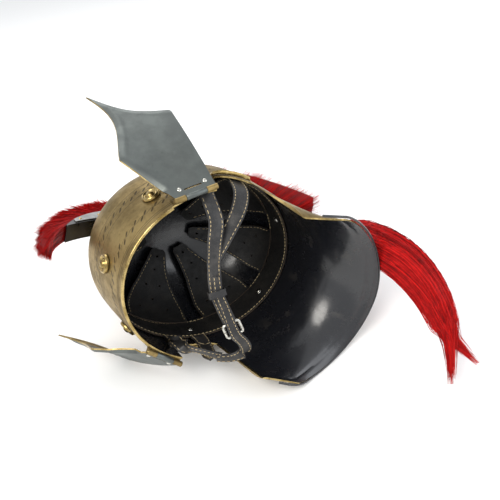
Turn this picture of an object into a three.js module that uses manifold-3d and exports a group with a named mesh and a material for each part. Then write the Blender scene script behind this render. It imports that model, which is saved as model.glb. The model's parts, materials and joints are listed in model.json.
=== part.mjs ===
// A Roman legionary helmet lying on its right side, with both cheek guards thrown open.
// It is modelled as it is worn: +X is the wearer's left, +Y the back, +Z the crown, and the
// brow rim lies at height 0. The last group turns it over and lays it on the floor.
import * as THREE from 'three';
import { ConvexHull } from 'three/addons/math/ConvexHull.js';
import { mergeVertices } from 'three/addons/utils/BufferGeometryUtils.js';
import Module from 'manifold-3d';

const wasm = await Module();
wasm.setup();

// Driving dimensions, in millimetres and degrees
const bowlLength = 239;
const bowlWidth = 203;
const bowlHeight = 165;
const widestHeight = 78;
const rimTuck = 0.035;
const steel = 1.8;
const gap = 0.35;
const facetDepth = 0.65;
const earFront = 73.5;
const earBack = 105;
const earHeight = 37;
const neckCornerTurn = 120;
const neckReach = 50;
const neckDrop = 74;
const neckSideDrop = 62;
const neckLift = 19;
const edgingRadius = 1.7;
const earGuardWidth = 5;
const earGuardSheet = 1;
const bossDiameter = 20;
const bossRise = 5;
const bossHeight = 38;
const bossTurn = 46;
const hingeFrontTurn = 50;
const hingeBackTurn = 73;
const hingeRadius = 3;
const pinRadius = 1.3;
const leafSheet = 1.2;
const leafHeight = 15;
const plateSheet = 1.6;
const plateTipLength = 168;
const plateRearLength = 107;
const plateFlange = 2.6;
const plateCurl = 0.008;
const plateCurlStart = 27;
const plateBow = 0.002;
const leftSwing = 140;
const rightSwing = 147.5;
const slotWidth = 1.6;
const slotLength = 19;
const holderWidth = 20;
const holderOverhang = 14;
const holderHeight = 34;
const holderTip = 3;
const holderWall = 2;
const holderClear = 9;
const sideSheet = 1;
const mountRadius = 9;
const brushRise = 30;
const brushFlare = 58;
const tailHeadBack = 1.5;
const tailHeadDrop = 0.85;
const tailWidth = 50;
const tailDepth = 26;
const bandLow = 50;
const bandHigh = 88;
const leather = 2;
const tongueCount = 7;
const tongueWidth = 74;
const tongueTipWidth = 18;
const rivetRadius = 4;
const rivetHeight = 66;
const strapWidth = 20;
const stemWidth = 14;
const strapThickness = 2.2;
const billetWidth = 9;
const buckleWire = 1.7;
const buckleLength = 14;
const keeperWidth = 7;

// What follows from them
const halfLength = bowlLength / 2;
const halfWidth = bowlWidth / 2;
const domeHeight = bowlHeight - widestHeight;
const radians = Math.PI / 180;

// Colour, roughness, metalness and weight in grams for each cubic centimetre
function finish(color, roughness, metalness, heaviness) {
  const material = new THREE.MeshStandardMaterial({ color, roughness, metalness });
  material.userData.heaviness = heaviness;
  return material;
}

const brass = finish(0xa2905f, 0.42, 0.9, 7.85);
const blackPaint = finish(0x17181a, 0.35, 0.2, 0.7);
const greySteel = finish(0x787d79, 0.35, 0.9, 7.85);
const rivetSteel = finish(0x8d8d88, 0.3, 0.9, 7.85);
const blackLeather = finish(0x1c1b1b, 0.7, 0, 0.95);
const redHair = finish(0xc4181c, 0.6, 0, 0.2);

const vec = (x, y, z) => new THREE.Vector3(x, y, z);
const lerp = (a, b, share) => a + (b - a) * share;

// Shares of the bowl's half width, half length and height
function place(left, back, up) {
  return vec(left * halfWidth, back * halfLength, up * bowlHeight);
}

// A table of rows read at any key between its first column's values
function readTable(rows, key, column) {
  let i = 1;
  while (i < rows.length - 1 && rows[i][0] < key) i += 1;
  const share = (key - rows[i - 1][0]) / (rows[i][0] - rows[i - 1][0]);
  return lerp(rows[i - 1][column], rows[i][column], Math.min(1, Math.max(0, share)));
}

// Closed bodies
function bodyFrom(points, faces) {
  let volume = 0;
  for (const [a, b, c] of faces) volume += points[a].dot(points[b].clone().cross(points[c]));
  const geometry = new THREE.BufferGeometry();
  const flat = points.flatMap((p) => [p.x, p.y, p.z]);
  geometry.setAttribute('position', new THREE.Float32BufferAttribute(flat, 3));
  geometry.setIndex(faces.flatMap(([a, b, c]) => (volume > 0 ? [a, b, c] : [a, c, b])));
  return geometry;
}

// A grid of points as one sheet of even thickness. Its back lies wall behind the grid's faces.
function sheet(grid, wall, around = false) {
  const points = [];
  const numbers = new Map();
  const ids = grid.map((row) => row.map((p) => {
    const key = [p.x, p.y, p.z].map((value) => Math.round(value * 1000)).join();
    if (!numbers.has(key)) numbers.set(key, points.push(p) - 1);
    return numbers.get(key);
  }));
  const faces = [];
  const addFace = (face) => {
    if (new Set(face).size === 3) faces.push(face);
  };
  for (let i = 0; i + 1 < ids.length; i += 1) {
    const columns = ids[i].length;
    for (let j = 0; j < (around ? columns : columns - 1); j += 1) {
      const next = (j + 1) % columns;
      addFace([ids[i][j], ids[i + 1][j], ids[i + 1][next]]);
      addFace([ids[i][j], ids[i + 1][next], ids[i][next]]);
    }
  }
  const normals = points.map(() => vec(0, 0, 0));
  const open = new Map();
  for (const face of faces) {
    const [a, b, c] = face.map((id) => points[id]);
    const normal = b.clone().sub(a).cross(c.clone().sub(a));
    face.forEach((id, k) => {
      normals[id].add(normal);
      const to = face[(k + 1) % 3];
      if (!open.delete(`${to} ${id}`)) open.set(`${id} ${to}`, [id, to]);
    });
  }
  const count = points.length;
  const backs = points.map((p, i) => p.clone().addScaledVector(normals[i].normalize(), -wall));
  const all = faces.concat(faces.map(([a, b, c]) => [a + count, c + count, b + count]));
  for (const [a, b] of open.values()) {
    all.push([a, a + count, b + count]);
    all.push([a, b + count, b]);
  }
  return bodyFrom(points.concat(backs), all);
}

// A skin through rings of points, closed with a fan at each end or joined into a loop
function loft(rings, looped = false) {
  const sides = rings[0].length;
  const faces = [];
  const last = looped ? rings.length : rings.length - 1;
  for (let i = 0; i < last; i += 1) {
    const here = i * sides;
    const there = ((i + 1) % rings.length) * sides;
    for (let j = 0; j < sides; j += 1) {
      const next = (j + 1) % sides;
      faces.push([here + j, there + j, there + next]);
      faces.push([here + j, there + next, here + next]);
    }
  }
  const end = (rings.length - 1) * sides;
  for (let j = 1; j + 1 < sides && !looped; j += 1) {
    faces.push([0, j, j + 1]);
    faces.push([end, end + j + 1, end + j]);
  }
  return bodyFrom(rings.flat(), faces);
}

// An oval ring round a centre, across two directions
function ovalRing(centre, across, up, halfAcross, halfUp, sides) {
  return Array.from({ length: sides }, (_, i) => {
    const angle = (i / sides) * 2 * Math.PI;
    return centre.clone()
      .addScaledVector(across, halfAcross * Math.cos(angle))
      .addScaledVector(up, halfUp * Math.sin(angle));
  });
}

function solid(geometry) {
  geometry.deleteAttribute('normal');
  geometry.deleteAttribute('uv');
  const merged = mergeVertices(geometry, 1e-4);
  return new wasm.Manifold(new wasm.Mesh({
    numProp: 3,
    vertProperties: new Float32Array(merged.attributes.position.array),
    triVerts: new Uint32Array(merged.index.array),
  }));
}

function geometryOf(body) {
  const mesh = body.getMesh();
  const geometry = new THREE.BufferGeometry();
  geometry.setAttribute('position', new THREE.Float32BufferAttribute(mesh.vertProperties, 3));
  geometry.setIndex([...mesh.triVerts]);
  return geometry;
}

function joined(geometries) {
  return geometryOf(geometries.map(solid).reduce((sum, next) => sum.add(next)));
}

function cut(geometry, tools) {
  return geometryOf(tools.map(solid).reduce((rest, tool) => rest.subtract(tool), solid(geometry)));
}

const helmet = new THREE.Group();

function add(name, geometry, material, group = helmet) {
  const mesh = new THREE.Mesh(geometry, material);
  mesh.name = name;
  group.add(mesh);
  return mesh;
}

// The bowl's outer face: turn runs from the brow to the wearer's left, height from the rim
function bowlShare(height) {
  if (height > widestHeight) return Math.sqrt(Math.max(0, 1 - ((height - widestHeight) / domeHeight) ** 2));
  return 1 - rimTuck * ((widestHeight - height) / widestHeight) ** 2;
}

function onBowl(turn, height, out = 0) {
  const share = bowlShare(height);
  const point = vec(
    halfWidth * share * Math.sin(turn * radians),
    -halfLength * share * Math.cos(turn * radians),
    height,
  );
  const rise = Math.max(0, height - widestHeight);
  const normal = vec(point.x / halfWidth ** 2, point.y / halfLength ** 2, rise / domeHeight ** 2);
  return point.addScaledVector(normal.normalize(), out);
}

// Height of the edge from the brow round the ear. Columns: share of the way round the arch, height share.
const earArch = [
  [0, 0],
  [0.04, 0.4],
  [0.11, 0.66],
  [0.22, 0.88],
  [0.42, 1],
  [0.66, 1],
  [0.84, 0.92],
  [0.94, 0.78],
];
const earTurn = (share) => lerp(earFront, earBack, share);

// The neck guard's edge, by turn from the ear's back edge to the middle of the back
function neckEdge(turn) {
  const corner = place(0.916, 0.598, 0).setZ(-neckDrop);
  if (turn <= neckCornerTurn) {
    const start = place(0.87, 0.249, 0).setZ(-neckSideDrop);
    return start.lerp(corner, (turn - earBack) / (neckCornerTurn - earBack));
  }
  const sweep = ((turn - neckCornerTurn) / (180 - neckCornerTurn)) * 90 * radians;
  return vec(
    corner.x * Math.max(0, Math.cos(sweep)) ** 1.09,
    lerp(corner.y, halfLength + neckReach, Math.sin(sweep) ** 1.21),
    lerp(corner.z, neckLift - neckDrop, Math.sin(sweep)),
  );
}

// Helmet shell: bowl, brow, ears and neck guard in one sheet
const domeRises = [90, 80, 68, 56, 44, 32, 20, 8];
const wallShares = [0, 0.5, 1];
const skirtShares = [0.22, 0.44, 0.64, 0.82, 1];

function shellColumn(turn, edgeHeight, outline) {
  const column = domeRises.map((rise) => onBowl(turn, widestHeight + domeHeight * Math.sin(rise * radians)));
  for (const share of wallShares) column.push(onBowl(turn, lerp(widestHeight, edgeHeight, share)));
  const rim = column[column.length - 1];
  for (const share of skirtShares) {
    if (!outline) {
      column.push(rim.clone());
      continue;
    }
    const bend = vec(rim.x * 1.01, rim.y * 1.02, lerp(0, outline.z, 0.8));
    column.push(new THREE.QuadraticBezierCurve3(rim, bend, outline).getPoint(share));
  }
  return column;
}

function shellColumns() {
  const half = [];
  for (let turn = 0; turn < earFront - 4; turn += 8.5) half.push([turn, shellColumn(turn, 0)]);
  for (const [share, height] of earArch) {
    half.push([earTurn(share), shellColumn(earTurn(share), height * earHeight)]);
  }
  const backSteps = 11;
  for (let i = 0; i <= backSteps; i += 1) {
    const turn = lerp(earBack, 180, i / backSteps);
    half.push([turn, shellColumn(turn, 0, neckEdge(turn))]);
  }
  const mirrored = half.slice(1, -1).reverse();
  return half.map(([, column]) => column)
    .concat(mirrored.map(([, column]) => column.map((p) => vec(-p.x, p.y, p.z))));
}

const columns = shellColumns();
const shellGrid = columns[0].map((_, row) => columns.map((column) => column[row]));
add('helmet_shell', sheet(shellGrid, steel, true), brass);

// A round bead along a path
function bead(path, radius, sides = 8) {
  const shape = new THREE.Shape();
  shape.absarc(0, 0, radius, 0, 2 * Math.PI);
  const curve = new THREE.CatmullRomCurve3(path);
  const steps = path.length * 2;
  return new THREE.ExtrudeGeometry(shape, {
    steps, extrudePath: curve, curveSegments: sides / 2, bevelEnabled: false,
  });
}

const edgingDrop = edgingRadius + gap;
const browEnd = hingeFrontTurn - 2;
const browPath = Array.from({ length: 13 }, (_, i) => {
  const turn = lerp(-browEnd, browEnd, i / 12);
  return onBowl(turn, 0, -steel / 2).setZ(-edgingDrop);
});
add('brow_edging', bead(browPath, edgingRadius), brass);

// The neck guard's rolled edge, on the line of its outline, pushed out clear of the sheet
const neckPath = Array.from({ length: 23 }, (_, i) => {
  const turn = lerp(-1, 1, i / 22) * (180 - neckCornerTurn + 8);
  const edge = neckEdge(180 - Math.abs(turn));
  const away = vec(edge.x, edge.y - halfLength * 0.35, 0).normalize();
  edge.addScaledVector(away, edgingRadius + gap);
  return vec(Math.sign(turn) * Math.abs(edge.x), edge.y, edge.z);
});
add('neck_edging', bead(neckPath, edgingRadius * 0.8, 6), brass);

// Ear guards: flared strips round the arches, standing off the bowl by the gap
function earGuard(side) {
  const inner = [];
  const middle = [];
  const outer = [];
  const steps = 14;
  for (let i = 0; i <= steps; i += 1) {
    const share = lerp(0.1, 0.9, i / steps);
    const lift = readTable(earArch, share, 1) * earHeight;
    const sweep = lerp(-1, 1, (share - 0.1) / 0.8);
    const root = onBowl(earTurn(share) + sweep * 2.2, lift + 5 - Math.abs(sweep) * 2, gap + earGuardSheet);
    const flare = onBowl(earTurn(share) + sweep * 0.6, lift + 1.5, gap + earGuardSheet + 1.2);
    const edge = onBowl(earTurn(share) + sweep * 0.4, lift + 2.5, earGuardWidth);
    inner.push(root);
    middle.push(flare);
    outer.push(edge);
  }
  const grid = [inner, middle, outer];
  if (side < 0) grid.forEach((row) => row.forEach((p) => p.setX(-p.x)));
  return sheet(grid, side * earGuardSheet);
}

// Brow bosses: a raised ring, a groove and a dome. Columns: radius share, rise share.
const bossProfile = [
  [0, 0],
  [1, 0],
  [1, 0.35],
  [0.9, 0.62],
  [0.76, 0.62],
  [0.66, 0.3],
  [0.52, 0.3],
  [0.42, 0.8],
  [0.22, 1],
  [0, 1],
];

function boss(turn) {
  const points = bossProfile.map(([radius, rise]) => new THREE.Vector2(radius * bossDiameter / 2, rise * bossRise));
  const geometry = new THREE.LatheGeometry(points, 16);
  const seat = onBowl(turn, bossHeight, gap);
  const away = seat.clone().sub(onBowl(turn, bossHeight)).normalize();
  geometry.applyQuaternion(new THREE.Quaternion().setFromUnitVectors(vec(0, 1, 0), away));
  geometry.translate(seat.x, seat.y, seat.z);
  return geometry;
}

add('brow_boss_centre', boss(0), brass);

// Cheek guard hinge: the pin lies along a chord of the rim, just below and outside it
const hingeOut = 4.6;
const hingeDrop = hingeRadius + gap;
const hingeFront = onBowl(hingeFrontTurn, 0, hingeOut).setZ(-hingeDrop);
const hingeBack = onBowl(hingeBackTurn, 0, hingeOut).setZ(-hingeDrop);
const alongHinge = hingeFront.clone().sub(hingeBack).normalize();
const hingeLength = hingeFront.distanceTo(hingeBack);
const outOfHinge = alongHinge.clone().cross(vec(0, 0, -1)).normalize();
const knuckleShare = 0.26;

function tube(from, to, outer, inner, sides = 12) {
  const length = to - from;
  const points = [[inner, 0], [outer, 0], [outer, length], [inner, length], [inner, 0]];
  const profile = inner > 0 ? points : [[0, 0], [outer, 0], [outer, length], [0, length]];
  const geometry = new THREE.LatheGeometry(profile.map(([r, y]) => new THREE.Vector2(r, y)), sides);
  geometry.applyQuaternion(new THREE.Quaternion().setFromUnitVectors(vec(0, 1, 0), alongHinge));
  const start = hingeBack.clone().addScaledVector(alongHinge, from);
  geometry.translate(start.x, start.y, start.z);
  return geometry;
}

function hingeLeaf() {
  const knuckle = hingeLength * knuckleShare - gap;
  const bore = pinRadius + gap;
  const leafGrid = [];
  for (const [height, inset] of [[leafHeight, 0.12], [leafHeight * 0.75, 0], [0.6, 0]]) {
    const row = [];
    for (let i = 0; i <= 8; i += 1) {
      const turn = lerp(hingeBackTurn, hingeFrontTurn, lerp(inset, 1 - inset, i / 8));
      row.push(onBowl(turn, height, gap + leafSheet));
    }
    leafGrid.push(row);
  }
  const parts = [sheet(leafGrid, -leafSheet)];
  for (const [from, to] of [[0, knuckle], [hingeLength - knuckle, hingeLength]]) {
    parts.push(tube(from, to, hingeRadius, bore));
    const rows = [2.4, -hingeDrop + hingeRadius * 0.72].map((height) => [0.02, 0.5, 0.98].map((share) => {
      const along = lerp(from, to, share) / hingeLength;
      const turn = lerp(hingeBackTurn, hingeFrontTurn, along);
      const low = hingeBack.clone().addScaledVector(alongHinge, along * hingeLength);
      const high = onBowl(turn, height, gap + leafSheet);
      return height > 0 ? high : low.addScaledVector(outOfHinge, hingeRadius * 0.3).setZ(height);
    }));
    parts.push(sheet(rows, -leafSheet));
  }
  return joined(parts);
}

// Cheek guard plate. Its outline in the plate's own plane: along the hinge, then away from it.
const plateRear = vec(-4, plateRearLength, 0);
const plateTip = vec(66, plateTipLength * 0.925, 0);
const plateFront = vec(75, 58, 0);
const frontScallop = 13;
const endScallop = 8;

function scallop(from, to, share, sag, skew) {
  const way = to.clone().sub(from);
  const inward = vec(-way.y, way.x, 0).normalize();
  const depth = sag * Math.sin(Math.PI * share ** skew);
  return from.clone().addScaledVector(way, share).addScaledVector(inward, depth);
}

function platePoint(u, v, swing) {
  const c = Math.cos(swing * radians);
  const s = Math.sin(swing * radians);
  const down = vec(0, 0, -1);
  const away = down.clone().multiplyScalar(c).addScaledVector(outOfHinge, s);
  const outward = down.clone().multiplyScalar(-s).addScaledVector(outOfHinge, c);
  const past = Math.max(0, u - plateCurlStart);
  const curl = (plateCurl * past * past) / 2 * Math.min(1, v / 40);
  return hingeBack.clone()
    .addScaledVector(alongHinge, u)
    .addScaledVector(away, v)
    .addScaledVector(outward, (plateBow * v * v) / 2 - curl);
}

// Rows run from the hinge to the scalloped end, columns from the rear edge to the front edge
function plateGrid(swing) {
  const elbow = 0.37;
  const start = hingeRadius * 0.6;
  const rearCorner = vec(hingeLength * 0.03, start, 0);
  const frontCorner = vec(hingeLength * 0.97, start, 0);
  const rows = [0, 0.1, 0.22, elbow, 0.47, 0.58, 0.7, 0.82, 0.93, 0.965, 1];
  const across = [0, 0.035, 0.2, 0.4, 0.6, 0.8, 0.95, 1];
  return rows.map((down) => {
    const left = rearCorner.clone().lerp(plateRear, down);
    const right = down <= elbow
      ? frontCorner.clone().lerp(plateFront, down / elbow)
      : scallop(plateFront, plateTip, (down - elbow) / (1 - elbow), frontScallop, 1.25);
    return across.map((share) => {
      const straight = left.clone().lerp(right, share);
      const end = scallop(plateRear, plateTip, share, -endScallop, 0.8);
      const chord = plateRear.clone().lerp(plateTip, share);
      straight.addScaledVector(end.sub(chord), down ** 4);
      const border = Math.max(share > 0.97 ? 1 : 0, down > 0.98 ? 1 : 0);
      const onBorder = down < 0.1 ? 0 : border;
      return { point: straight, onBorder };
    });
  }).map((row) => row.map(({ point, onBorder }) => {
    const base = platePoint(point.x, point.y, swing);
    const outward = vec(0, 0, Math.sin(swing * radians)).addScaledVector(outOfHinge, Math.cos(swing * radians));
    return base.addScaledVector(outward, onBorder * plateFlange);
  }));
}

function cheekGuard(swing) {
  const plate = sheet(plateGrid(swing), plateSheet);
  const knuckle = hingeLength * knuckleShare;
  const barrel = tube(knuckle, hingeLength - knuckle, hingeRadius, pinRadius + gap);
  const clearance = hingeRadius + gap;
  const cutters = [
    tube(-2, hingeLength + 2, pinRadius + gap, 0),
    tube(-2, knuckle, clearance, 0),
    tube(hingeLength - knuckle, hingeLength + 2, clearance, 0),
  ];
  const away = platePoint(0, 1, swing).sub(platePoint(0, 0, swing));
  const slot = new THREE.BoxGeometry(slotLength, slotWidth, plateSheet * 6);
  const outward = alongHinge.clone().cross(away);
  slot.applyMatrix4(new THREE.Matrix4().makeBasis(alongHinge, away, outward));
  const middle = platePoint(hingeLength * 0.5, hingeRadius * 2.6, swing);
  slot.translate(middle.x, middle.y, middle.z);
  cutters.push(slot);
  return cut(joined([plate, barrel]), cutters);
}

function mirrored(geometry) {
  const copy = geometry.clone();
  copy.scale(-1, 1, 1);
  const index = [...copy.index.array];
  for (let i = 0; i < index.length; i += 3) [index[i + 1], index[i + 2]] = [index[i + 2], index[i + 1]];
  copy.setIndex(index);
  return copy;
}

const sides = [
  { side: 'left', swing: leftSwing, turned: (geometry) => geometry },
  { side: 'right', swing: rightSwing, turned: mirrored },
];
for (const { side, swing, turned } of sides) {
  add(`${side}_ear_guard`, turned(earGuard(1)), brass);
  add(`brow_boss_${side}`, turned(geometryOf(solid(boss(bossTurn)))), brass);
  add(`${side}_hinge_leaf`, turned(hingeLeaf()), brass);
  add(`${side}_hinge_pin`, turned(geometryOf(solid(tube(0, hingeLength, pinRadius, 0, 10)))), brass);
  add(`${side}_cheek_guard`, turned(cheekGuard(swing)), greySteel);
}

// Crest holder: a half moon, nearly touching the bowl at the crown and lifting off to both ends
function arcThrough(reach, endHeight, topHeight) {
  const centre = (reach ** 2 + endHeight ** 2 - topHeight ** 2) / (2 * (endHeight - topHeight));
  return { centre, radius: topHeight - centre };
}

const holderReach = halfLength + holderOverhang;
const holderEnd = bowlHeight * 0.755;
const holderBottom = arcThrough(holderReach, holderEnd, bowlHeight + holderClear);
const holderTop = arcThrough(holderReach, holderEnd + holderTip, bowlHeight + holderClear + holderHeight);
const arcHeight = (arc, y) => arc.centre + Math.sqrt(arc.radius ** 2 - y ** 2);

function holderRing(y, half, inset) {
  const low = arcHeight(holderBottom, y) + inset;
  const high = Math.max(low + 1, arcHeight(holderTop, y) - inset);
  return [vec(-half, y, low), vec(half, y, low), vec(half, y, high), vec(-half, y, high)];
}

function holderRings(half, inset, reach) {
  const steps = 14;
  return Array.from({ length: steps + 1 }, (_, i) => holderRing(reach * Math.sin(lerp(-90, 90, i / steps) * radians), half, inset));
}

// Open at the top, where the brush sits
const holderCore = holderRings(holderWidth / 2 - holderWall, 0, holderReach * 0.93)
  .map((ring) => ring.map((p, i) => p.setZ(p.z + (i < 2 ? holderWall : holderHeight))));
add('crest_holder', cut(loft(holderRings(holderWidth / 2, 0, holderReach)), [loft(holderCore)]), blackPaint);

function sidePlate() {
  const rings = Array.from({ length: 13 }, (_, i) => {
    const y = holderReach * 0.9 * Math.sin(lerp(-90, 90, i / 12) * radians);
    const low = arcHeight(holderBottom, y) + 3;
    const high = Math.max(low + 2, arcHeight(holderTop, y) - 2);
    const x = holderWidth / 2 + gap;
    return [vec(x, y, low), vec(x + sideSheet, y, low), vec(x + sideSheet, y, high), vec(x, y, high)];
  });
  return loft(rings);
}
add('crest_side_left', sidePlate(), greySteel);
add('crest_side_right', mirrored(sidePlate()), greySteel);

// Socket between the crown and the holder
const mountFoot = bowlHeight + gap;
const mountTop = bowlHeight + holderClear - gap - facetDepth;
const mountProfile = [[0, 0], [1, 0], [1, 0.2], [0.62, 0.4], [0.62, 1], [0, 1]];
const mountPoints = mountProfile.map(([radius, rise]) => (
  new THREE.Vector2(radius * mountRadius, rise * (mountTop - mountFoot))));
const mount = new THREE.LatheGeometry(mountPoints, 16);
mount.rotateX(Math.PI / 2);
mount.translate(0, 0, mountFoot);
add('crest_mount', mount, blackPaint);

// Crest brush: locks stand in a fan on the holder's arched top.
// Columns: degrees over the crown from the brow, rise share, lean share, half width share.
const brushFan = [
  [5, 0.75, -0.06, 0.1],
  [16, 0.95, -0.05, 0.18],
  [45, 1, 0, 0.22],
  [75, 1.05, 0.06, 0.26],
  [100, 1.3, 0.32, 0.34],
  [125, 1.5, 0.6, 0.4],
  [150, 1.75, 0.74, 0.4],
  [158, 1.85, 0.76, 0.34],
];
const fanStart = brushFan[0][0];
const fanEnd = brushFan[brushFan.length - 1][0];
const fanRootStart = 28;
const fanRootEnd = 144;

function fanPoint(angle, radius, x) {
  const turn = angle * radians;
  return vec(x, -radius * Math.cos(turn), holderTop.centre + radius * Math.sin(turn));
}

function brush() {
  const rings = [];
  const steps = 40;
  for (let i = 0; i <= steps; i += 1) {
    const share = i / steps;
    const tip = lerp(fanStart, fanEnd, share);
    const root = lerp(fanRootStart, fanRootEnd, share);
    const jag = 1 - 0.14 * (i % 2) - 0.05 * Math.sin(i * 2.1);
    const rise = readTable(brushFan, tip, 1) * brushRise * jag;
    const lean = readTable(brushFan, tip, 2) * brushFlare;
    const half = readTable(brushFan, tip, 3) * brushFlare * (1 - 0.12 * (i % 2));
    const base = holderTop.radius + gap;
    const rootHalf = holderWidth / 2;
    const mid = lerp(root, tip, 0.55);
    rings.push([
      fanPoint(root, base, -rootHalf),
      fanPoint(root, base, rootHalf),
      fanPoint(mid, base + rise * 0.55, lean * 0.5 + lerp(rootHalf, half, 0.75)),
      fanPoint(tip, base + rise * 0.94, lean + half),
      fanPoint(tip, base + rise, lean),
      fanPoint(tip, base + rise * 0.9, lean - half),
      fanPoint(mid, base + rise * 0.5, lean * 0.4 - lerp(rootHalf, half, 0.75)),
    ]);
  }
  return loft(rings);
}
add('crest_brush', brush(), redHair);

// A place by shares of the half width, of the neck guard's reach behind the bowl, and of the height
const behindBowl = (left, behind, up) => place(left, 1, up).add(vec(0, behind * neckReach, 0));

// Horsehair tail. Columns: those three shares, then width and depth shares.
const tailRoute = [
  [0.03, 0.478, 0.67, 0.36, 0.5],
  [0.2, 0.813, 0.5, 0.55, 0.8],
  [0.44, 1.028, 0.14, 0.8, 1],
  [0.55, 0.956, -0.18, 0.95, 1],
  [0.5, 1.195, -0.38, 0.95, 0.95],
  [0.38, 1.386, -0.54, 0.86, 0.85],
  [0.2, 1.53, -0.69, 0.7, 0.7],
  [-0.04, 1.577, -0.84, 0.5, 0.55],
];
// Two wisps end it. Columns: those three shares, then the width share.
const tailWisps = [
  [[-0.16, 1.745, -0.94, 0.3], [-0.255, 1.96, -1.055, 0.04]],
  [[-0.24, 1.386, -0.96, 0.26], [-0.45, 1.219, -1.06, 0.04]],
];

function tail() {
  const head = vec(0, holderReach + tailHeadBack, holderEnd - tailHeadDrop);
  const line = new THREE.CatmullRomCurve3([head, ...tailRoute.map(([left, behind, up]) => behindBowl(left, behind, up))]);
  const across = vec(-0.25, 0.62, 0.74);
  const ringAt = (point, way, half, depth, sides, wave) => {
    const side = across.clone().cross(way).normalize();
    const thick = way.clone().cross(side).normalize();
    return Array.from({ length: sides }, (_, i) => {
      const angle = (i / sides) * 2 * Math.PI;
      const lock = 1 - 0.1 * ((i + wave) % 2);
      return point.clone()
        .addScaledVector(side, half * lock * Math.cos(angle))
        .addScaledVector(thick, depth * lock * Math.sin(angle));
    });
  };
  const steps = 16;
  const rings = [];
  for (let i = 0; i <= steps; i += 1) {
    const share = i / steps;
    const row = share * tailRoute.length;
    const keyed = [tailRoute[0], ...tailRoute].map((values, k) => [k, ...values]);
    const half = readTable(keyed, row, 4) * tailWidth / 2;
    const depth = readTable(keyed, row, 5) * tailDepth / 2;
    rings.push(ringAt(line.getPoint(share), line.getTangent(share), half, depth, 12, 0));
  }
  const parts = [loft(rings)];
  const last = line.getPoint(0.97);
  for (const wisp of tailWisps) {
    const points = [last, ...wisp.map(([left, behind, up]) => behindBowl(left, behind, up))];
    const curve = new THREE.CatmullRomCurve3(points);
    const widths = [[0, 0.36], [0.5, wisp[0][3]], [1, wisp[1][3]]];
    const wispRings = Array.from({ length: 6 }, (_, i) => {
      const half = readTable(widths, i / 5, 1) * tailWidth / 2;
      return ringAt(curve.getPoint(i / 5), curve.getTangent(i / 5), half, half * 0.6, 8, 0);
    });
    parts.push(loft(wispRings));
  }
  return joined(parts);
}
add('crest_tail', tail(), redHair);

// Liner: a band round the inside, tongues up to the crown, and rivets through the band
const bandOut = -steel - gap - facetDepth;
const bandColumns = Array.from({ length: 36 }, (_, i) => i * 10);
const bandGrid = [bandHigh, lerp(bandLow, bandHigh, 0.5), bandLow].map((height) => (
  bandColumns.map((turn) => onBowl(turn, height, bandOut))));
add('liner_band', sheet(bandGrid, leather, true), blackLeather);

function onDome(turn, rise, out) {
  const angle = rise * radians;
  const flat = Math.cos(angle);
  const point = vec(
    halfWidth * flat * Math.sin(turn * radians),
    -halfLength * flat * Math.cos(turn * radians),
    widestHeight + domeHeight * Math.sin(angle),
  );
  const normal = vec(point.x / halfWidth ** 2, point.y / halfLength ** 2, (point.z - widestHeight) / domeHeight ** 2);
  return point.addScaledVector(normal.normalize(), out);
}

// Columns: rise on the dome, width share from the band to the tip, sag off the bowl
const tonguePlan = [
  [4, 1, 0],
  [15, 1, 1.5],
  [32, 0.86, 4],
  [48, 0.66, 6],
  [64, 0.5, 6],
  [74, 0.42, 3],
];

function tongue(number) {
  const middle = (number + 0.5) * (360 / tongueCount);
  const lead = bandOut - leather - gap - facetDepth;
  const grid = tonguePlan.map(([rise, share, sag]) => [-1, -0.5, 0, 0.5, 1].map((side) => {
    const half = lerp(tongueTipWidth, tongueWidth, (share - 0.42) / 0.58) / 2;
    const around = Math.hypot(halfLength * Math.cos(middle * radians), halfWidth * Math.sin(middle * radians));
    const spread = (half * side) / (around * Math.cos(rise * radians)) / radians;
    return onDome(middle + spread, rise, lead - sag);
  }));
  return sheet(grid, -leather * 0.8);
}
for (let i = 0; i < tongueCount; i += 1) add(`liner_tongue_${i + 1}`, tongue(i), blackLeather);

// Rivets of the liner band, and of the four strap ends below it
function rivet(seat, away) {
  const profile = [[0, 0], [1, 0], [0.86, 0.3], [0.5, 0.5], [0, 0.56]];
  const points = profile.map(([radius, rise]) => new THREE.Vector2(radius * rivetRadius, rise * rivetRadius));
  const geometry = new THREE.LatheGeometry(points, 10);
  geometry.applyQuaternion(new THREE.Quaternion().setFromUnitVectors(vec(0, 1, 0), away));
  geometry.translate(seat.x, seat.y, seat.z);
  return geometry;
}

const rivetTurns = [-150, -95, -35, 35, 95, 150];
rivetTurns.forEach((turn, i) => {
  const seat = onBowl(turn, rivetHeight, bandOut - leather - gap - facetDepth);
  const away = seat.clone().sub(onBowl(turn, rivetHeight)).normalize();
  add(`liner_rivet_${i + 1}`, rivet(seat, away), rivetSteel);
});

// Straps. A strap is a strip through rows of place and edge direction.
// Columns: left, back and up in shares of the bowl, then the way from edge to edge.
function strip(rows, width, thickness, endWidth = width) {
  const line = new THREE.CatmullRomCurve3(rows.map(({ at }) => at), false, 'centripetal');
  const steps = (rows.length - 1) * 3;
  const rings = Array.from({ length: steps + 1 }, (_, i) => {
    const key = i / 3;
    const row = Math.min(rows.length - 2, Math.floor(key));
    const centre = line.getPoint(i / steps);
    const way = line.getTangent(i / steps);
    const edge = rows[row].edge.clone().lerp(rows[row + 1].edge, key - row);
    edge.addScaledVector(way, -edge.dot(way)).normalize();
    const up = edge.clone().cross(way).normalize().multiplyScalar(thickness / 2);
    edge.multiplyScalar(lerp(width, endWidth, i / steps) / 2);
    return [
      centre.clone().sub(edge).sub(up),
      centre.clone().add(edge).sub(up),
      centre.clone().add(edge).add(up),
      centre.clone().sub(edge).add(up),
    ];
  });
  return loft(rings);
}

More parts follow.
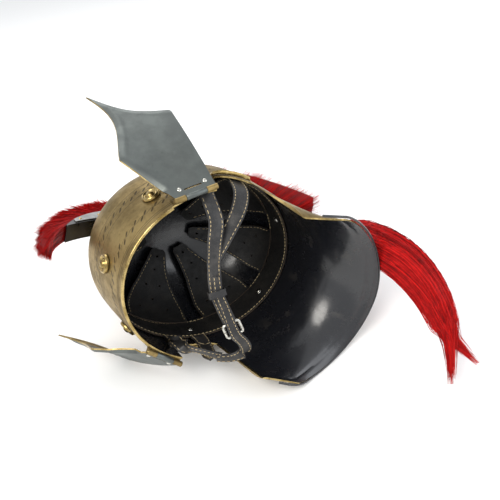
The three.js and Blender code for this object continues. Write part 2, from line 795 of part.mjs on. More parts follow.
// The riveted end of a strap, flat on the bowl's inner face just below the band
function strapRoot(turn) {
  const lay = bandOut - facetDepth - strapThickness / 2 - strapWidth ** 2 / (8 * halfWidth);
  const edge = onBowl(turn + 3, bandLow).sub(onBowl(turn - 3, bandLow)).normalize();
  const low = lerp(earHeight, bandLow, 0.2);
  return [
    { at: onBowl(turn, bandLow - gap, lay), edge },
    { at: onBowl(turn, low, lay), edge },
  ];
}

const strapRows = (table) => table.map(([left, back, up, x, y, z]) => ({ at: place(left, back, up), edge: vec(x, y, z) }));
const leftFrontArm = [
  [0.86, -0.3, 0.09, 0.1, 1, 0],
  [0.63, -0.26, -0.045, 0.2, 1, -0.1],
  [0.42, -0.27, -0.095, 0.2, 1, -0.3],
  [0.24, -0.27, -0.13, 0.2, 1, -0.4],
];
const leftBackArm = [
  [0.88, 0.05, 0.09, 0.1, 1, 0],
  [0.74, -0.02, 0, 0.2, 0.8, -0.3],
  [0.52, -0.13, -0.06, 0.5, 0.8, -0.4],
  [0.3, -0.25, -0.11, 0.4, 0.9, -0.4],
];
const leftStem = [
  [0.27, -0.27, -0.12, 0.2, 1, -0.4],
  [0.12, -0.26, -0.155, 0.2, 1, -0.4],
  [-0.03, -0.235, -0.19, 0.2, 1, -0.3],
  [-0.17, -0.17, -0.22, 0.3, 1, -0.3],
  [-0.3, -0.1, -0.245, 0.4, 1, -0.3],
];
const rightFrontArm = [
  [-0.81, -0.28, 0.09, 0.3, 0.6, -0.6],
  [-0.77, -0.25, -0.03, 0.4, 0.2, -1],
  [-0.75, -0.16, -0.12, 0.6, 0, -0.8],
  [-0.76, -0.04, -0.18, 0.8, 0, -0.6],
];
const rightBackArm = [
  [-0.93, 0.05, 0.09, 0.1, 1, 0],
  [-0.88, -0.02, -0.03, 0.4, 0.8, -0.3],
  [-0.8, -0.06, -0.13, 0.7, 0.3, -0.6],
];
const rightStem = [
  [-0.79, -0.07, -0.165, 0.8, 0, -0.6],
  [-0.74, 0.06, -0.22, 0.9, 0, -0.4],
  [-0.63, 0.12, -0.265, 0.7, 0.5, -0.3],
  [-0.5, 0.04, -0.29, 0.4, 0.9, -0.3],
];

const rootTurns = { left: [78, 96], right: [-78, -96] };
add('chin_strap_left', joined([
  strip([...strapRoot(rootTurns.left[0]), ...strapRows(leftFrontArm)], strapWidth, strapThickness, stemWidth),
  strip([...strapRoot(rootTurns.left[1]), ...strapRows(leftBackArm)], strapWidth, strapThickness, stemWidth),
  strip(strapRows(leftStem), stemWidth, strapThickness),
]), blackLeather);

// The buckle sits at the end of the left stem. The right strap passes over its bars and back up the stem.
const stemRows = strapRows(leftStem);
const stemEnd = stemRows[stemRows.length - 1];
const stemWay = stemEnd.at.clone().sub(stemRows[stemRows.length - 2].at).normalize();
const stemEdge = stemEnd.edge.clone().addScaledVector(stemWay, -stemEnd.edge.dot(stemWay)).normalize();
const stemUp = stemEdge.clone().cross(stemWay).normalize();
if (stemUp.z > 0) stemUp.negate();
const buckleAt = stemEnd.at.clone().addScaledVector(stemWay, buckleLength / 2 + buckleWire + gap);
const overBar = buckleWire + gap + strapThickness / 2;
const overStem = strapThickness + gap * 2;
const billetShift = (stemWidth - billetWidth) * 0.3;

function alongStem(row, out) {
  const at = stemRows[row].at.clone().addScaledVector(stemUp, out).addScaledVector(stemEdge, billetShift);
  return { at, edge: stemRows[row].edge };
}
const billetRows = [
  { at: buckleAt.clone().addScaledVector(stemWay, buckleLength / 2).addScaledVector(stemUp, overBar), edge: stemEdge },
  { at: buckleAt.clone().addScaledVector(stemWay, -buckleLength / 2).addScaledVector(stemUp, overBar), edge: stemEdge },
  alongStem(3, overStem),
  alongStem(2, overStem),
  alongStem(1, overStem),
];
add('chin_strap_right', joined([
  strip([...strapRoot(rootTurns.right[0]), ...strapRows(rightFrontArm)], strapWidth, strapThickness, stemWidth),
  strip([...strapRoot(rootTurns.right[1]), ...strapRows(rightBackArm)], strapWidth, strapThickness, stemWidth),
  strip([...strapRows(rightStem), ...billetRows], stemWidth, strapThickness, billetWidth),
]), blackLeather);

// A closed frame of even section round a centre, along two directions
function frame(at, across, along, halfAcross, halfAlong, section) {
  return loft([[-1, -1], [1, -1], [1, 1], [-1, 1]].map(([a, b]) => {
    const corner = at.clone().addScaledVector(across, a * halfAcross).addScaledVector(along, b * halfAlong);
    const out = across.clone().multiplyScalar(a).addScaledVector(along, b);
    return section(corner, out);
  }), true);
}

const wireRing = (corner, out) => ovalRing(corner, out, stemUp, buckleWire, buckleWire, 8);
add('strap_buckle', frame(
  buckleAt, stemEdge, stemWay, stemWidth / 2 + buckleWire, buckleLength / 2, wireRing,
), rivetSteel);

// A leather loop holds the billet down on the stem
const keeperAt = stemRows[2].at.clone().addScaledVector(stemUp, overStem / 2);
const keeperWay = stemRows[1].at.clone().sub(stemRows[3].at).normalize();
const keeperEdge = stemRows[2].edge.clone().addScaledVector(keeperWay, -stemRows[2].edge.dot(keeperWay)).normalize();
const keeperUp = keeperEdge.clone().cross(keeperWay).normalize();
const keeperThickness = 1.2;
const keeperRing = (corner, out) => [[-1, -1], [1, -1], [1, 1], [-1, 1]].map(([a, b]) => corner.clone()
  .addScaledVector(out, (a * keeperThickness) / 2)
  .addScaledVector(keeperWay, (b * keeperWidth) / 2));
const keeperAcross = stemWidth / 2 + gap + keeperThickness;
const keeperDeep = overStem / 2 + strapThickness / 2 + gap + keeperThickness;
add('strap_keeper', frame(keeperAt, keeperEdge, keeperUp, keeperAcross, keeperDeep, keeperRing), blackLeather);

// Laying it down: it rests on the flat side of its hull that its weight stands over,
// the one that faces most nearly the wearer's right.
const lyingSide = vec(-0.88, 0.46, 0.11).normalize();
const softPieces = /^(crest_brush|crest_tail|chin_strap)/;

function centreOfWeight(meshes) {
  const centre = vec(0, 0, 0);
  let weight = 0;
  for (const { geometry, material } of meshes) {
    const position = geometry.attributes.position;
    const order = geometry.index ? geometry.index.array : position.array.map((_, i) => i).slice(0, position.count);
    const [a, b, c] = [vec(0, 0, 0), vec(0, 0, 0), vec(0, 0, 0)];
    for (let i = 0; i < order.length; i += 3) {
      a.fromBufferAttribute(position, order[i]);
      b.fromBufferAttribute(position, order[i + 1]);
      c.fromBufferAttribute(position, order[i + 2]);
      const share = a.dot(b.clone().cross(c)) * material.userData.heaviness;
      centre.addScaledVector(a.add(b).add(c), share / 4);
      weight += share;
    }
  }
  return centre.divideScalar(weight);
}

function restingFace() {
  const corners = [];
  for (const { name, geometry } of helmet.children) {
    const position = geometry.attributes.position;
    for (let i = 0; i < position.count && !softPieces.test(name); i += 1) {
      corners.push(vec(0, 0, 0).fromBufferAttribute(position, i));
    }
  }
  const centre = centreOfWeight(helmet.children);
  const standsOver = (face) => [0, 1, 2].every((i) => {
    const edge = face.getEdge(i);
    const from = edge.tail().point;
    const way = edge.head().point.clone().sub(from);
    return way.cross(centre.clone().sub(from)).dot(face.normal) > 0;
  });
  return new ConvexHull().setFromPoints(corners).faces
    .filter(standsOver)
    .sort((one, other) => other.normal.dot(lyingSide) - one.normal.dot(lyingSide))[0];
}

const floor = restingFace();
const up = floor.normal.clone().negate();
const backward = vec(0, 1, 0).addScaledVector(up, -up.y).normalize();
const crownward = up.clone().cross(backward);
const lying = new THREE.Group();
lying.add(helmet);
helmet.quaternion.setFromRotationMatrix(new THREE.Matrix4().makeBasis(backward, crownward, up)).invert();
helmet.updateMatrixWorld(true);
const box = new THREE.Box3().setFromObject(lying, true);
const contact = floor.getEdge(0).head().point.clone().applyQuaternion(helmet.quaternion);
helmet.position.set(-(box.min.x + box.max.x) / 2, -(box.min.y + box.max.y) / 2, -contact.z);

export default lying;
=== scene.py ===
import json
import math
import random

import bpy
import numpy as np
from mathutils import Matrix, Vector
from mathutils.geometry import delaunay_2d_cdt

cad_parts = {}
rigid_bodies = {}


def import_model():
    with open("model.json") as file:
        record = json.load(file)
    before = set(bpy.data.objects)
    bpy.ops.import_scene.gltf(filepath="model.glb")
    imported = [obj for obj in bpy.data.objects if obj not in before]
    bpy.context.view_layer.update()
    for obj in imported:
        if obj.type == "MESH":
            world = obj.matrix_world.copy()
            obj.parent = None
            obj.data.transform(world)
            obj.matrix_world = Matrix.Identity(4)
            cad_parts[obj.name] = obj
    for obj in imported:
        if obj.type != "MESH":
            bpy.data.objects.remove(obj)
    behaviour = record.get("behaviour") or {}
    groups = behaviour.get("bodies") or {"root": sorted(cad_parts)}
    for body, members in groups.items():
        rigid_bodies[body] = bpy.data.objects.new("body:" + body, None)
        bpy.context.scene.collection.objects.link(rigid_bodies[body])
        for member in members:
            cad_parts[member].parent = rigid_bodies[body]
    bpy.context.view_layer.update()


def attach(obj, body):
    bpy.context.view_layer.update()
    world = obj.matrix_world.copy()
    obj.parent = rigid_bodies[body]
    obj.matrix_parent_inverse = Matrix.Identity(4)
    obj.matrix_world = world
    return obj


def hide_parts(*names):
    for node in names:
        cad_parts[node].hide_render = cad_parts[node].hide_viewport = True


for thing in list(bpy.data.objects):
    bpy.data.objects.remove(thing)
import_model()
rng = random.Random(7)

# Driving dimensions of the helmet as it is worn, in millimetres and degrees, as in the part's source
HALF_LENGTH = 119.5
HALF_WIDTH = 101.5
BOWL_HEIGHT = 165
WIDEST = 78
DOME = BOWL_HEIGHT - WIDEST
RIM_TUCK = 0.035
STEEL = 1.8
GAP = 0.35
FACET = 0.65
EAR_FRONT = 73.5
EAR_BACK = 105
EAR_HEIGHT = 37
NECK_CORNER = 120
NECK_REACH = 50
NECK_DROP = 74
NECK_SIDE_DROP = 62
NECK_LIFT = 19
EDGING = 1.7
EAR_GUARD = 5
BOSS_RADIUS = 10
BOSS_RISE = 5
BOSS_HEIGHT = 38
BOSS_TURN = 46
HINGE_FRONT = 50
HINGE_BACK = 73
HINGE_OUT = 4.6
HINGE = 3
PIN = 1.3
LEAF_SHEET = 1.2
LEAF_HEIGHT = 15
LEAF_FOOT = 0.6
PLATE = 1.6
FLANGE = 2.6
HOLDER = 20
BAND_LOW = 50
BAND_HIGH = 88
LEATHER = 2
STRAP = 20
STEM = 14
STRAP_SHEET = 2.2
BILLET = 9
WIRE = 1.7
BUCKLE = 14
KEEPER = 7
BAND_OUT = -STEEL - GAP - FACET

# The worn helmet's axes and origin as it lies on the floor
LAY = np.array([
    [0.438934, 0.895996, -0.067294],
    [0.151542, 0.0, 0.988451],
    [0.885648, -0.444063, -0.135781],
])
LAY_AT = np.array([-17.441306, -32.448938, 115.548647])


def lie(points):
    """Points of the worn helmet in millimetres, as they lie on the floor in metres."""
    return (np.asarray(points, float) @ LAY.T + LAY_AT) / 1000


def vec(x, y, z):
    return np.array([x, y, z], float)


def unit(v):
    return v / np.linalg.norm(v)


def lerp(a, b, share):
    return a + (b - a) * share


def place(left, back, up):
    """A place in shares of the bowl's half width, half length and height."""
    return vec(left * HALF_WIDTH, back * HALF_LENGTH, up * BOWL_HEIGHT)


def smoothstep(low, high, value):
    t = min(1.0, max(0.0, (value - low) / (high - low)))
    return t * t * (3 - 2 * t)


def table(rows, key, column):
    """A table of rows read at any key by a smooth curve that never overshoots."""
    x = [row[0] for row in rows]
    y = [row[column] for row in rows]
    key = min(x[-1], max(x[0], key))
    slopes = [(y[i + 1] - y[i]) / (x[i + 1] - x[i]) for i in range(len(x) - 1)]
    tangents = [slopes[0]]
    for one, other in zip(slopes, slopes[1:]):
        tangents.append(0.0 if one * other <= 0 else 2 * one * other / (one + other))
    tangents.append(slopes[-1])
    i = min(len(x) - 2, max(0, sum(1 for value in x if value <= key) - 1))
    width = x[i + 1] - x[i]
    t = (key - x[i]) / width
    return (
        y[i] * (1 + 2 * t) * (1 - t) ** 2
        + tangents[i] * width * t * (1 - t) ** 2
        + y[i + 1] * t * t * (3 - 2 * t)
        + tangents[i + 1] * width * t * t * (t - 1)
    )


class Line:
    """A smooth curve through points, read from 0 to 1."""

    def __init__(self, points):
        points = [np.asarray(p, float) for p in points]
        self.points = [2 * points[0] - points[1], *points, 2 * points[-1] - points[-2]]
        self.last = len(points) - 1

    def at(self, share):
        key = min(0.999999, max(0.0, share)) * self.last
        i = int(key)
        t = key - i
        a, b, c, d = self.points[i:i + 4]
        ab, bc, cd = (max(1e-4, np.linalg.norm(q - p)) ** 0.5 for p, q in ((a, b), (b, c), (c, d)))
        start = ((b - a) / ab - (c - a) / (ab + bc) + (c - b) / bc) * bc
        end = ((c - b) / bc - (d - b) / (bc + cd) + (d - c) / cd) * bc
        return (
            b + start * t
            + (-3 * b + 3 * c - 2 * start - end) * t ** 2
            + (2 * b - 2 * c + start + end) * t ** 3
        )

    def way(self, share):
        low = max(0.0, share - 1e-3)
        return unit(self.at(min(1.0, low + 2e-3)) - self.at(low))


# Colours and shader nodes
def linear(code):
    """A linear colour from an sRGB hex code."""
    channels = [int(code[i:i + 2], 16) / 255 for i in (0, 2, 4)]
    return (*[c / 12.92 if c <= 0.04045 else ((c + 0.055) / 1.055) ** 2.4 for c in channels], 1.0)


def node(tree, kind, links=None, **settings):
    """Adds a node with its settings, and its inputs as values or as sockets to link from."""
    made = tree.nodes.new(kind)
    for key, value in settings.items():
        setattr(made, key, value)
    for key, value in (links or {}).items():
        if isinstance(value, bpy.types.NodeSocket):
            tree.links.new(value, made.inputs[key])
        else:
            made.inputs[key].default_value = value
    return made


def calc(tree, operation, first, second=0.0, third=0.0):
    """One step of arithmetic on numbers or sockets."""
    return node(tree, "ShaderNodeMath", {0: first, 1: second, 2: third}, operation=operation).outputs[0]


def mix(tree, share, first, second):
    """A blend of two colours."""
    made = node(tree, "ShaderNodeMix", {0: share, 6: first, 7: second}, data_type="RGBA")
    return made.outputs[2]


def spread(tree, value, low, high, to_low, to_high):
    """A value from one range smoothly spread over another."""
    links = {"Value": value, "From Min": low, "From Max": high, "To Min": to_low, "To Max": to_high}
    return node(tree, "ShaderNodeMapRange", links, interpolation_type="SMOOTHSTEP").outputs[0]


def noise(tree, vector, period, detail=4.0, roughness=0.55):
    """Cloudy noise whose patches are about period millimetres wide."""
    links = {"Vector": vector, "Scale": 1 / period, "Detail": detail, "Roughness": roughness}
    return node(tree, "ShaderNodeTexNoise", links).outputs["Fac"]


def stretched(tree, vector, factors):
    """A place scaled along each axis, for streaks."""
    return node(tree, "ShaderNodeVectorMath", {0: vector, 1: factors}, operation="MULTIPLY").outputs[0]


def bump(tree, height, depth, normal=None):
    """A bump whose full height is depth millimetres."""
    links = {"Height": height, "Distance": depth / 1000, "Strength": 1.0}
    if normal is not None:
        links["Normal"] = normal
    return node(tree, "ShaderNodeBump", links).outputs[0]


def material(name):
    """A new material with its tree, its surface node and the place on the worn helmet in millimetres."""
    made = bpy.data.materials.new(name)
    made.use_nodes = True
    tree = made.node_tree
    surface = tree.nodes["Principled BSDF"]
    worn = node(tree, "ShaderNodeAttribute", attribute_name="worn").outputs["Vector"]
    return made, tree, surface, worn


def wire(tree, surface, **links):
    """Sets or links inputs of the surface node, underscores standing for spaces."""
    for key, value in links.items():
        socket = surface.inputs[key.replace("_", " ")]
        if isinstance(value, bpy.types.NodeSocket):
            tree.links.new(value, socket)
        else:
            socket.default_value = value


LEAF_LENGTH = 3.4
LEAF_BREADTH = 1.15
LEAF_RISE = 2.3
BOWL_RADIUS = 110.0
LEAF_ROWS = [(19.0, 6.6), (60.0, 7.6)]
GROOVES = (4.6, 7.2, 52.0, 68.0)


def leaf_row(tree, along, height, row_height, period):
    """A row of slanted almond leaves on a waving stem: 1 in the cut marks and 0 elsewhere."""
    cell = calc(tree, "DIVIDE", along, period)
    inside = calc(tree, "MULTIPLY", calc(tree, "SUBTRACT", calc(tree, "FRACT", cell), 0.5), period)
    parity = calc(tree, "FLOORED_MODULO", calc(tree, "FLOOR", cell), 2.0)
    side = calc(tree, "SUBTRACT", calc(tree, "MULTIPLY", parity, 2.0), 1.0)
    rise = calc(tree, "SUBTRACT", height, row_height)
    up = calc(tree, "SUBTRACT", rise, calc(tree, "MULTIPLY", side, LEAF_RISE))
    long = calc(tree, "ADD", calc(tree, "MULTIPLY", inside, 0.7), calc(tree, "MULTIPLY", up, 0.7))
    short = calc(tree, "SUBTRACT", calc(tree, "MULTIPLY", up, 0.7), calc(tree, "MULTIPLY", inside, 0.7))
    shape = calc(tree, "ADD",
                 calc(tree, "POWER", calc(tree, "DIVIDE", calc(tree, "ABSOLUTE", long), LEAF_LENGTH), 2.0),
                 calc(tree, "POWER", calc(tree, "DIVIDE", calc(tree, "ABSOLUTE", short), LEAF_BREADTH), 2.0))
    leaf = spread(tree, shape, 0.7, 1.25, 1.0, 0.0)
    wave = calc(tree, "MULTIPLY", calc(tree, "SINE", calc(tree, "MULTIPLY", cell, math.pi)), 0.9)
    stem = spread(tree, calc(tree, "ABSOLUTE", calc(tree, "SUBTRACT", rise, wave)), 0.25, 0.6, 0.8, 0.0)
    return calc(tree, "MAXIMUM", leaf, stem)


def antique_brass():
    """Brass-plated steel, toned down by age: the eye reads its warm cloudy tarnish and the cut leaf rows."""
    made, tree, surface, worn = material("brass_antiqued_engraved")
    part = node(tree, "ShaderNodeSeparateXYZ", {0: worn})
    turn = calc(tree, "ARCTAN2", part.outputs[0], calc(tree, "MULTIPLY", part.outputs[1], -1.0))
    along = calc(tree, "MULTIPLY", turn, BOWL_RADIUS)
    height = part.outputs[2]
    lower, upper = (leaf_row(tree, along, height, *row) for row in LEAF_ROWS)
    grooves = None
    for groove in GROOVES:
        away = calc(tree, "ABSOLUTE", calc(tree, "SUBTRACT", height, groove))
        cut = spread(tree, away, 0.35, 0.8, 0.8, 0.0)
        grooves = cut if grooves is None else calc(tree, "MAXIMUM", grooves, cut)
    marks = calc(tree, "MAXIMUM", calc(tree, "MAXIMUM", lower, upper), grooves)
    clouds = noise(tree, worn, 38.0, 6.0, 0.62)
    fine = noise(tree, worn, 4.5, 5.0, 0.6)
    tone = mix(tree, spread(tree, clouds, 0.36, 0.66, 0.0, 1.0), linear("776540"), linear("A08A5A"))
    tone = mix(tree, spread(tree, fine, 0.5, 0.72, 0.0, 0.4), tone, linear("54462B"))
    tone = mix(tree, calc(tree, "MULTIPLY", marks, 0.8), tone, linear("33291A"))
    cells = {"Vector": worn, "Scale": 1 / 9.0, "Smoothness": 1.0}
    dents = node(tree, "ShaderNodeTexVoronoi", cells, feature="SMOOTH_F1")
    scratch = noise(tree, stretched(tree, worn, (0.15, 0.15, 2.2)), 2.2, 3.0, 0.7)
    rough = calc(tree, "ADD", spread(tree, clouds, 0.3, 0.7, 0.5, 0.34), calc(tree, "MULTIPLY", fine, 0.16))
    lift = bump(tree, dents.outputs["Distance"], 0.22)
    lift = bump(tree, scratch, 0.02, lift)
    lift = bump(tree, marks, -0.4, lift)
    wire(tree, surface, Base_Color=tone, Metallic=0.95, Roughness=rough, Normal=lift)
    return made


def plain_brass():
    """Bright rolled edge, where hands and polish keep the brass clean: it gives the thin gold outline."""
    made, tree, surface, worn = material("brass_polished_edge")
    clouds = noise(tree, worn, 14.0, 5.0, 0.6)
    fine = noise(tree, worn, 1.6, 4.0, 0.65)
    tone = mix(tree, spread(tree, clouds, 0.35, 0.65, 0.0, 1.0), linear("8C7747"), linear("C4AD76"))
    rough = calc(tree, "ADD", 0.17, calc(tree, "MULTIPLY", fine, 0.22))
    wire(tree, surface, Base_Color=tone, Metallic=1.0, Roughness=rough, Normal=bump(tree, fine, 0.03))
    return made


def black_paint():
    """Black enamel inside the bowl: a soft cool sheen over fine orange peel, with dusty rubbed patches."""
    made, tree, surface, worn = material("enamel_black_semigloss")
    clouds = noise(tree, worn, 60.0, 5.0, 0.6)
    peel = noise(tree, worn, 2.6, 3.0, 0.5)
    rubs = noise(tree, stretched(tree, worn, (1.0, 0.35, 0.7)), 22.0, 7.0, 0.68)
    dust = noise(tree, worn, 1.1, 2.0, 0.6)
    worn_share = spread(tree, rubs, 0.56, 0.74, 0.0, 0.32)
    tone = mix(tree, worn_share, linear("15161A"), linear("4A453E"))
    tone = mix(tree, spread(tree, dust, 0.66, 0.76, 0.0, 0.22), tone, linear("8B857A"))
    rubbed = calc(tree, "MULTIPLY", worn_share, 0.8)
    rough = calc(tree, "ADD", spread(tree, clouds, 0.3, 0.7, 0.2, 0.34), rubbed)
    swell = noise(tree, worn, 17.0, 2.0, 0.4)
    lift = bump(tree, peel, 0.05, bump(tree, swell, 0.5))
    wire(tree, surface, Base_Color=tone, Metallic=0.0, Roughness=rough, Normal=lift, IOR=1.55,
         Coat_Weight=0.35, Coat_Roughness=0.16)
    return made


def satin_steel(name, light, dark, low, high):
    """Brushed steel sheet: fine grain lines and faint smudges break its grey sheen."""
    made, tree, surface, worn = material(name)
    grain = noise(tree, stretched(tree, worn, (0.9, 0.9, 0.05)), 0.5, 4.0, 0.7)
    smudge = noise(tree, worn, 26.0, 6.0, 0.62)
    specks = noise(tree, worn, 3.2, 5.0, 0.65)
    tone = mix(tree, spread(tree, smudge, 0.35, 0.68, 0.0, 1.0), linear(dark), linear(light))
    tone = mix(tree, spread(tree, specks, 0.6, 0.78, 0.0, 0.35), tone, linear("3E403E"))
    rough = calc(tree, "ADD", spread(tree, smudge, 0.3, 0.7, high, low), calc(tree, "MULTIPLY", grain, 0.1))
    swell = noise(tree, worn, 30.0, 1.0, 0.4)
    lift = bump(tree, grain, 0.012, bump(tree, swell, 0.9))
    wire(tree, surface, Base_Color=tone, Metallic=1.0, Roughness=rough, Normal=lift, Anisotropic=0.35)
    return made


def lacquer():
    """Black lacquered wood of the crest holder: nearly mirror-smooth, the wood's long pores just felt."""
    made, tree, surface, worn = material("wood_black_lacquer")
    pores = noise(tree, stretched(tree, worn, (1.4, 0.12, 1.0)), 1.2, 4.0, 0.6)
    clouds = noise(tree, worn, 20.0, 4.0, 0.6)
    tone = mix(tree, spread(tree, clouds, 0.4, 0.7, 0.0, 1.0), linear("0E0E0F"), linear("222022"))
    rough = spread(tree, clouds, 0.3, 0.7, 0.24, 0.4)
    lift = bump(tree, pores, 0.05)
    wire(tree, surface, Base_Color=tone, Metallic=0.0, Roughness=rough, Normal=lift, Coat_Weight=0.3)
    return made


def horsehair():
    """Dyed horsehair: each hair has its own red, and painted shade darkens every hair at the root, deep in
    the brush, so that it brightens towards the tip.
    """
    made, tree, surface, worn = material("horsehair_dyed_red")
    tone = node(tree, "ShaderNodeAttribute", attribute_name="tone").outputs["Fac"]
    depth = node(tree, "ShaderNodeAttribute", attribute_name="reach").outputs["Fac"]
    streak = noise(tree, worn, 7.0, 3.0, 0.6)
    # Painted shade: the reach share along each hair makes it darker towards the root, deep among the other
    # hairs
    share = calc(tree, "ADD", calc(tree, "MULTIPLY", tone, 0.62), calc(tree, "MULTIPLY", depth, 0.3))
    share = calc(tree, "ADD", share, calc(tree, "MULTIPLY", calc(tree, "SUBTRACT", streak, 0.5), 0.5))
    dark = mix(tree, spread(tree, share, 0.0, 0.5, 0.0, 1.0), linear("3A0204"), linear("B00A0C"))
    colour = mix(tree, spread(tree, share, 0.45, 1.0, 0.0, 1.0), dark, linear("F01A14"))
    wire(tree, surface, Base_Color=colour, Metallic=0.0, Roughness=0.5, IOR=1.5, Specular_IOR_Level=0.22)
    return made


def hair_core():
    """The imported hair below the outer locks, dark red so that the gaps between locks read as depth."""
    made, tree, surface, worn = material("horsehair_core_shade")
    strands = noise(tree, stretched(tree, worn, (1.0, 0.2, 0.6)), 1.4, 4.0, 0.6)
    tone = mix(tree, strands, linear("3A0206"), linear("8E0A10"))
    wire(tree, surface, Base_Color=tone, Metallic=0.0, Roughness=0.7, Normal=bump(tree, strands, 0.5))
    return made


def leather(name, dark, light, low, high):
    """Black harness leather: pebbled grain and fine creases catch the light, edges look rubbed."""
    made, tree, surface, worn = material(name)
    cells = node(tree, "ShaderNodeTexVoronoi", {"Vector": worn, "Scale": 1 / 0.95, "Randomness": 1.0})
    creases = noise(tree, worn, 6.5, 7.0, 0.7)
    rub = noise(tree, worn, 16.0, 5.0, 0.62)
    tone = mix(tree, spread(tree, rub, 0.42, 0.72, 0.0, 1.0), linear(dark), linear(light))
    tone = mix(tree, spread(tree, cells.outputs["Distance"], 0.0, 0.5, 0.3, 0.0), tone, linear("5A554F"))
    rough = spread(tree, creases, 0.3, 0.7, low, high)
    lift = bump(tree, creases, 0.16, bump(tree, cells.outputs["Distance"], -0.1))
    wire(tree, surface, Base_Color=tone, Metallic=0.0, Roughness=rough, Normal=lift, IOR=1.48)
    return made


def raw_edge():
    """Cut edge of dyed leather: a little browner and fuzzier than the face."""
    made, tree, surface, worn = material("leather_cut_edge")
    fibre = noise(tree, worn, 0.8, 5.0, 0.7)
    tone = mix(tree, fibre, linear("17130F"), linear("4B3D2E"))
    wire(tree, surface, Base_Color=tone, Metallic=0.0, Roughness=0.85, Normal=bump(tree, fibre, 0.12))
    return made


def nickel():
    """Nickel-plated hardware: small sharp highlights with a few tarnished spots."""
    made, tree, surface, worn = material("nickel_plated")
    spots = noise(tree, worn, 2.4, 5.0, 0.6)
    tone = mix(tree, spread(tree, spots, 0.5, 0.72, 0.0, 0.7), linear("CFCDC4"), linear("7C776B"))
    rough = spread(tree, spots, 0.35, 0.7, 0.16, 0.36)
    wire(tree, surface, Base_Color=tone, Metallic=1.0, Roughness=rough, Normal=bump(tree, spots, 0.02))
    return made


def thread():
    """Waxed tan thread: the pale dashes that draw every leather edge."""
    made, tree, surface, worn = material("thread_waxed_tan")
    twist = noise(tree, worn, 0.5, 2.0, 0.5)
    soil = noise(tree, worn, 9.0, 4.0, 0.6)
    tone = mix(tree, spread(tree, soil, 0.4, 0.7, 0.0, 0.7), linear("C9B48A"), linear("87724F"))
    wire(tree, surface, Base_Color=tone, Metallic=0.0, Roughness=0.62, Normal=bump(tree, twist, 0.08))
    return made


BRASS = antique_brass()
EDGE = plain_brass()
PAINT = black_paint()
STEEL_IN = satin_steel("steel_satin_brushed", "6F7471", "646866", 0.4, 0.48)
# The cheek plate's outer field is brass like its border, given the dark brownish grey that brass takes in
# shade: painted shade
SHADED_BRASS_FIELD = satin_steel("brass_field_painted_shade", "5C5546", "423D32", 0.34, 0.5)
SIDE_SHEET = satin_steel("aluminium_satin_sheet", "C4C6C4", "9C9E9C", 0.32, 0.46)
WOOD = lacquer()
HAIR = horsehair()
CORE = hair_core()
LINER = leather("leather_black_liner", "121212", "24221F", 0.42, 0.66)
HARNESS = leather("leather_black_strap", "1E1E1F", "3C3A38", 0.4, 0.62)
RAW = raw_edge()
NICKEL = nickel()
THREAD = thread()


# Making pieces
def finished(piece, body, replaced=()):
    """The piece joins the frame: its body and the solids it stands for."""
    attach(piece, body)
    if replaced:
        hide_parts(*replaced)


def mesh_object(name, points, faces, materials, numbers=None, sharp=35):
    """A mesh of the worn helmet's points, laid down, with its worn places kept for the finish."""
    mesh = bpy.data.meshes.new(name)
    mesh.from_pydata(lie(points).tolist(), [], [tuple(int(i) for i in face) for face in faces])
    for finish in materials:
        mesh.materials.append(finish)
    if numbers is not None:
        mesh.polygons.foreach_set("material_index", np.asarray(numbers, np.int32))
    worn = mesh.attributes.new("worn", "FLOAT_VECTOR", "POINT")
    worn.data.foreach_set("vector", np.asarray(points, np.float32).ravel())
    mesh.shade_smooth()
    mesh.set_sharp_from_angle(angle=math.radians(sharp))
    mesh.update()
    piece = bpy.data.objects.new(name, mesh)
    bpy.context.scene.collection.objects.link(piece)
    return piece


def applied(piece):
    """Makes the piece a plain mesh with its modifiers worked in."""
    graph = bpy.context.evaluated_depsgraph_get()
    mesh = bpy.data.meshes.new_from_object(piece.evaluated_get(graph), depsgraph=graph)
    old = piece.data
    piece.modifiers.clear()
    piece.data = mesh
    mesh.name = piece.name
    bpy.data.meshes.remove(old)


def rounded(piece, width):
    """Breaks the piece's sharp edges with a small round, in millimetres."""
    bevel = piece.modifiers.new("edge", "BEVEL")
    bevel.width = width / 1000
    bevel.segments = 2
    bevel.limit_method = "ANGLE"
    bevel.angle_limit = math.radians(38)
    bevel.harden_normals = False
    applied(piece)


def outward(points, faces):
    """Faces turned so that a closed skin's volume is positive."""
    points = np.asarray(points, float)
    volume = 0.0
    for face in faces:
        for i in range(1, len(face) - 1):
            a, b, c = points[face[0]], points[face[i]], points[face[i + 1]]
            volume += float(np.dot(a, np.cross(b, c)))
    return faces if volume > 0 else [tuple(reversed(face)) for face in faces]


def loft(rings, looped=False):
    """Points and faces of a skin through rings, closed with a face at each end or joined into a loop."""
    sides = len(rings[0])
    points = [p for ring in rings for p in ring]
    faces = []
    for i in range(len(rings) if looped else len(rings) - 1):
        here = i * sides
        there = ((i + 1) % len(rings)) * sides
        for j in range(sides):
            k = (j + 1) % sides
            faces.append((here + j, there + j, there + k, here + k))
    if not looped:
        faces.append(tuple(range(sides)))
        faces.append(tuple(reversed(range(len(points) - sides, len(points)))))
    return points, faces


def lathe(profile, seat, axis, segments=32):
    """Points and faces of a turned form. Its profile is radius and rise along the axis."""
    axis = unit(np.asarray(axis, float))
    side = unit(np.cross(axis, vec(0.3, 0.2, 0.93)))
    other = np.cross(axis, side)
    points = []
    index = []
    for radius, rise in profile:
        if radius < 1e-6:
            index.append([len(points)] * segments)
            points.append(seat + axis * rise)
            continue
        index.append(list(range(len(points), len(points) + segments)))
        for j in range(segments):
            angle = 2 * math.pi * j / segments
            points.append(seat + axis * rise + (side * math.cos(angle) + other * math.sin(angle)) * radius)
    faces = []
    for low, high in zip(index, index[1:]):
        for j in range(segments):
            k = (j + 1) % segments
            face = list(dict.fromkeys((low[j], low[k], high[k], high[j])))
            if len(face) > 2:
                faces.append(tuple(face))
    return points, faces


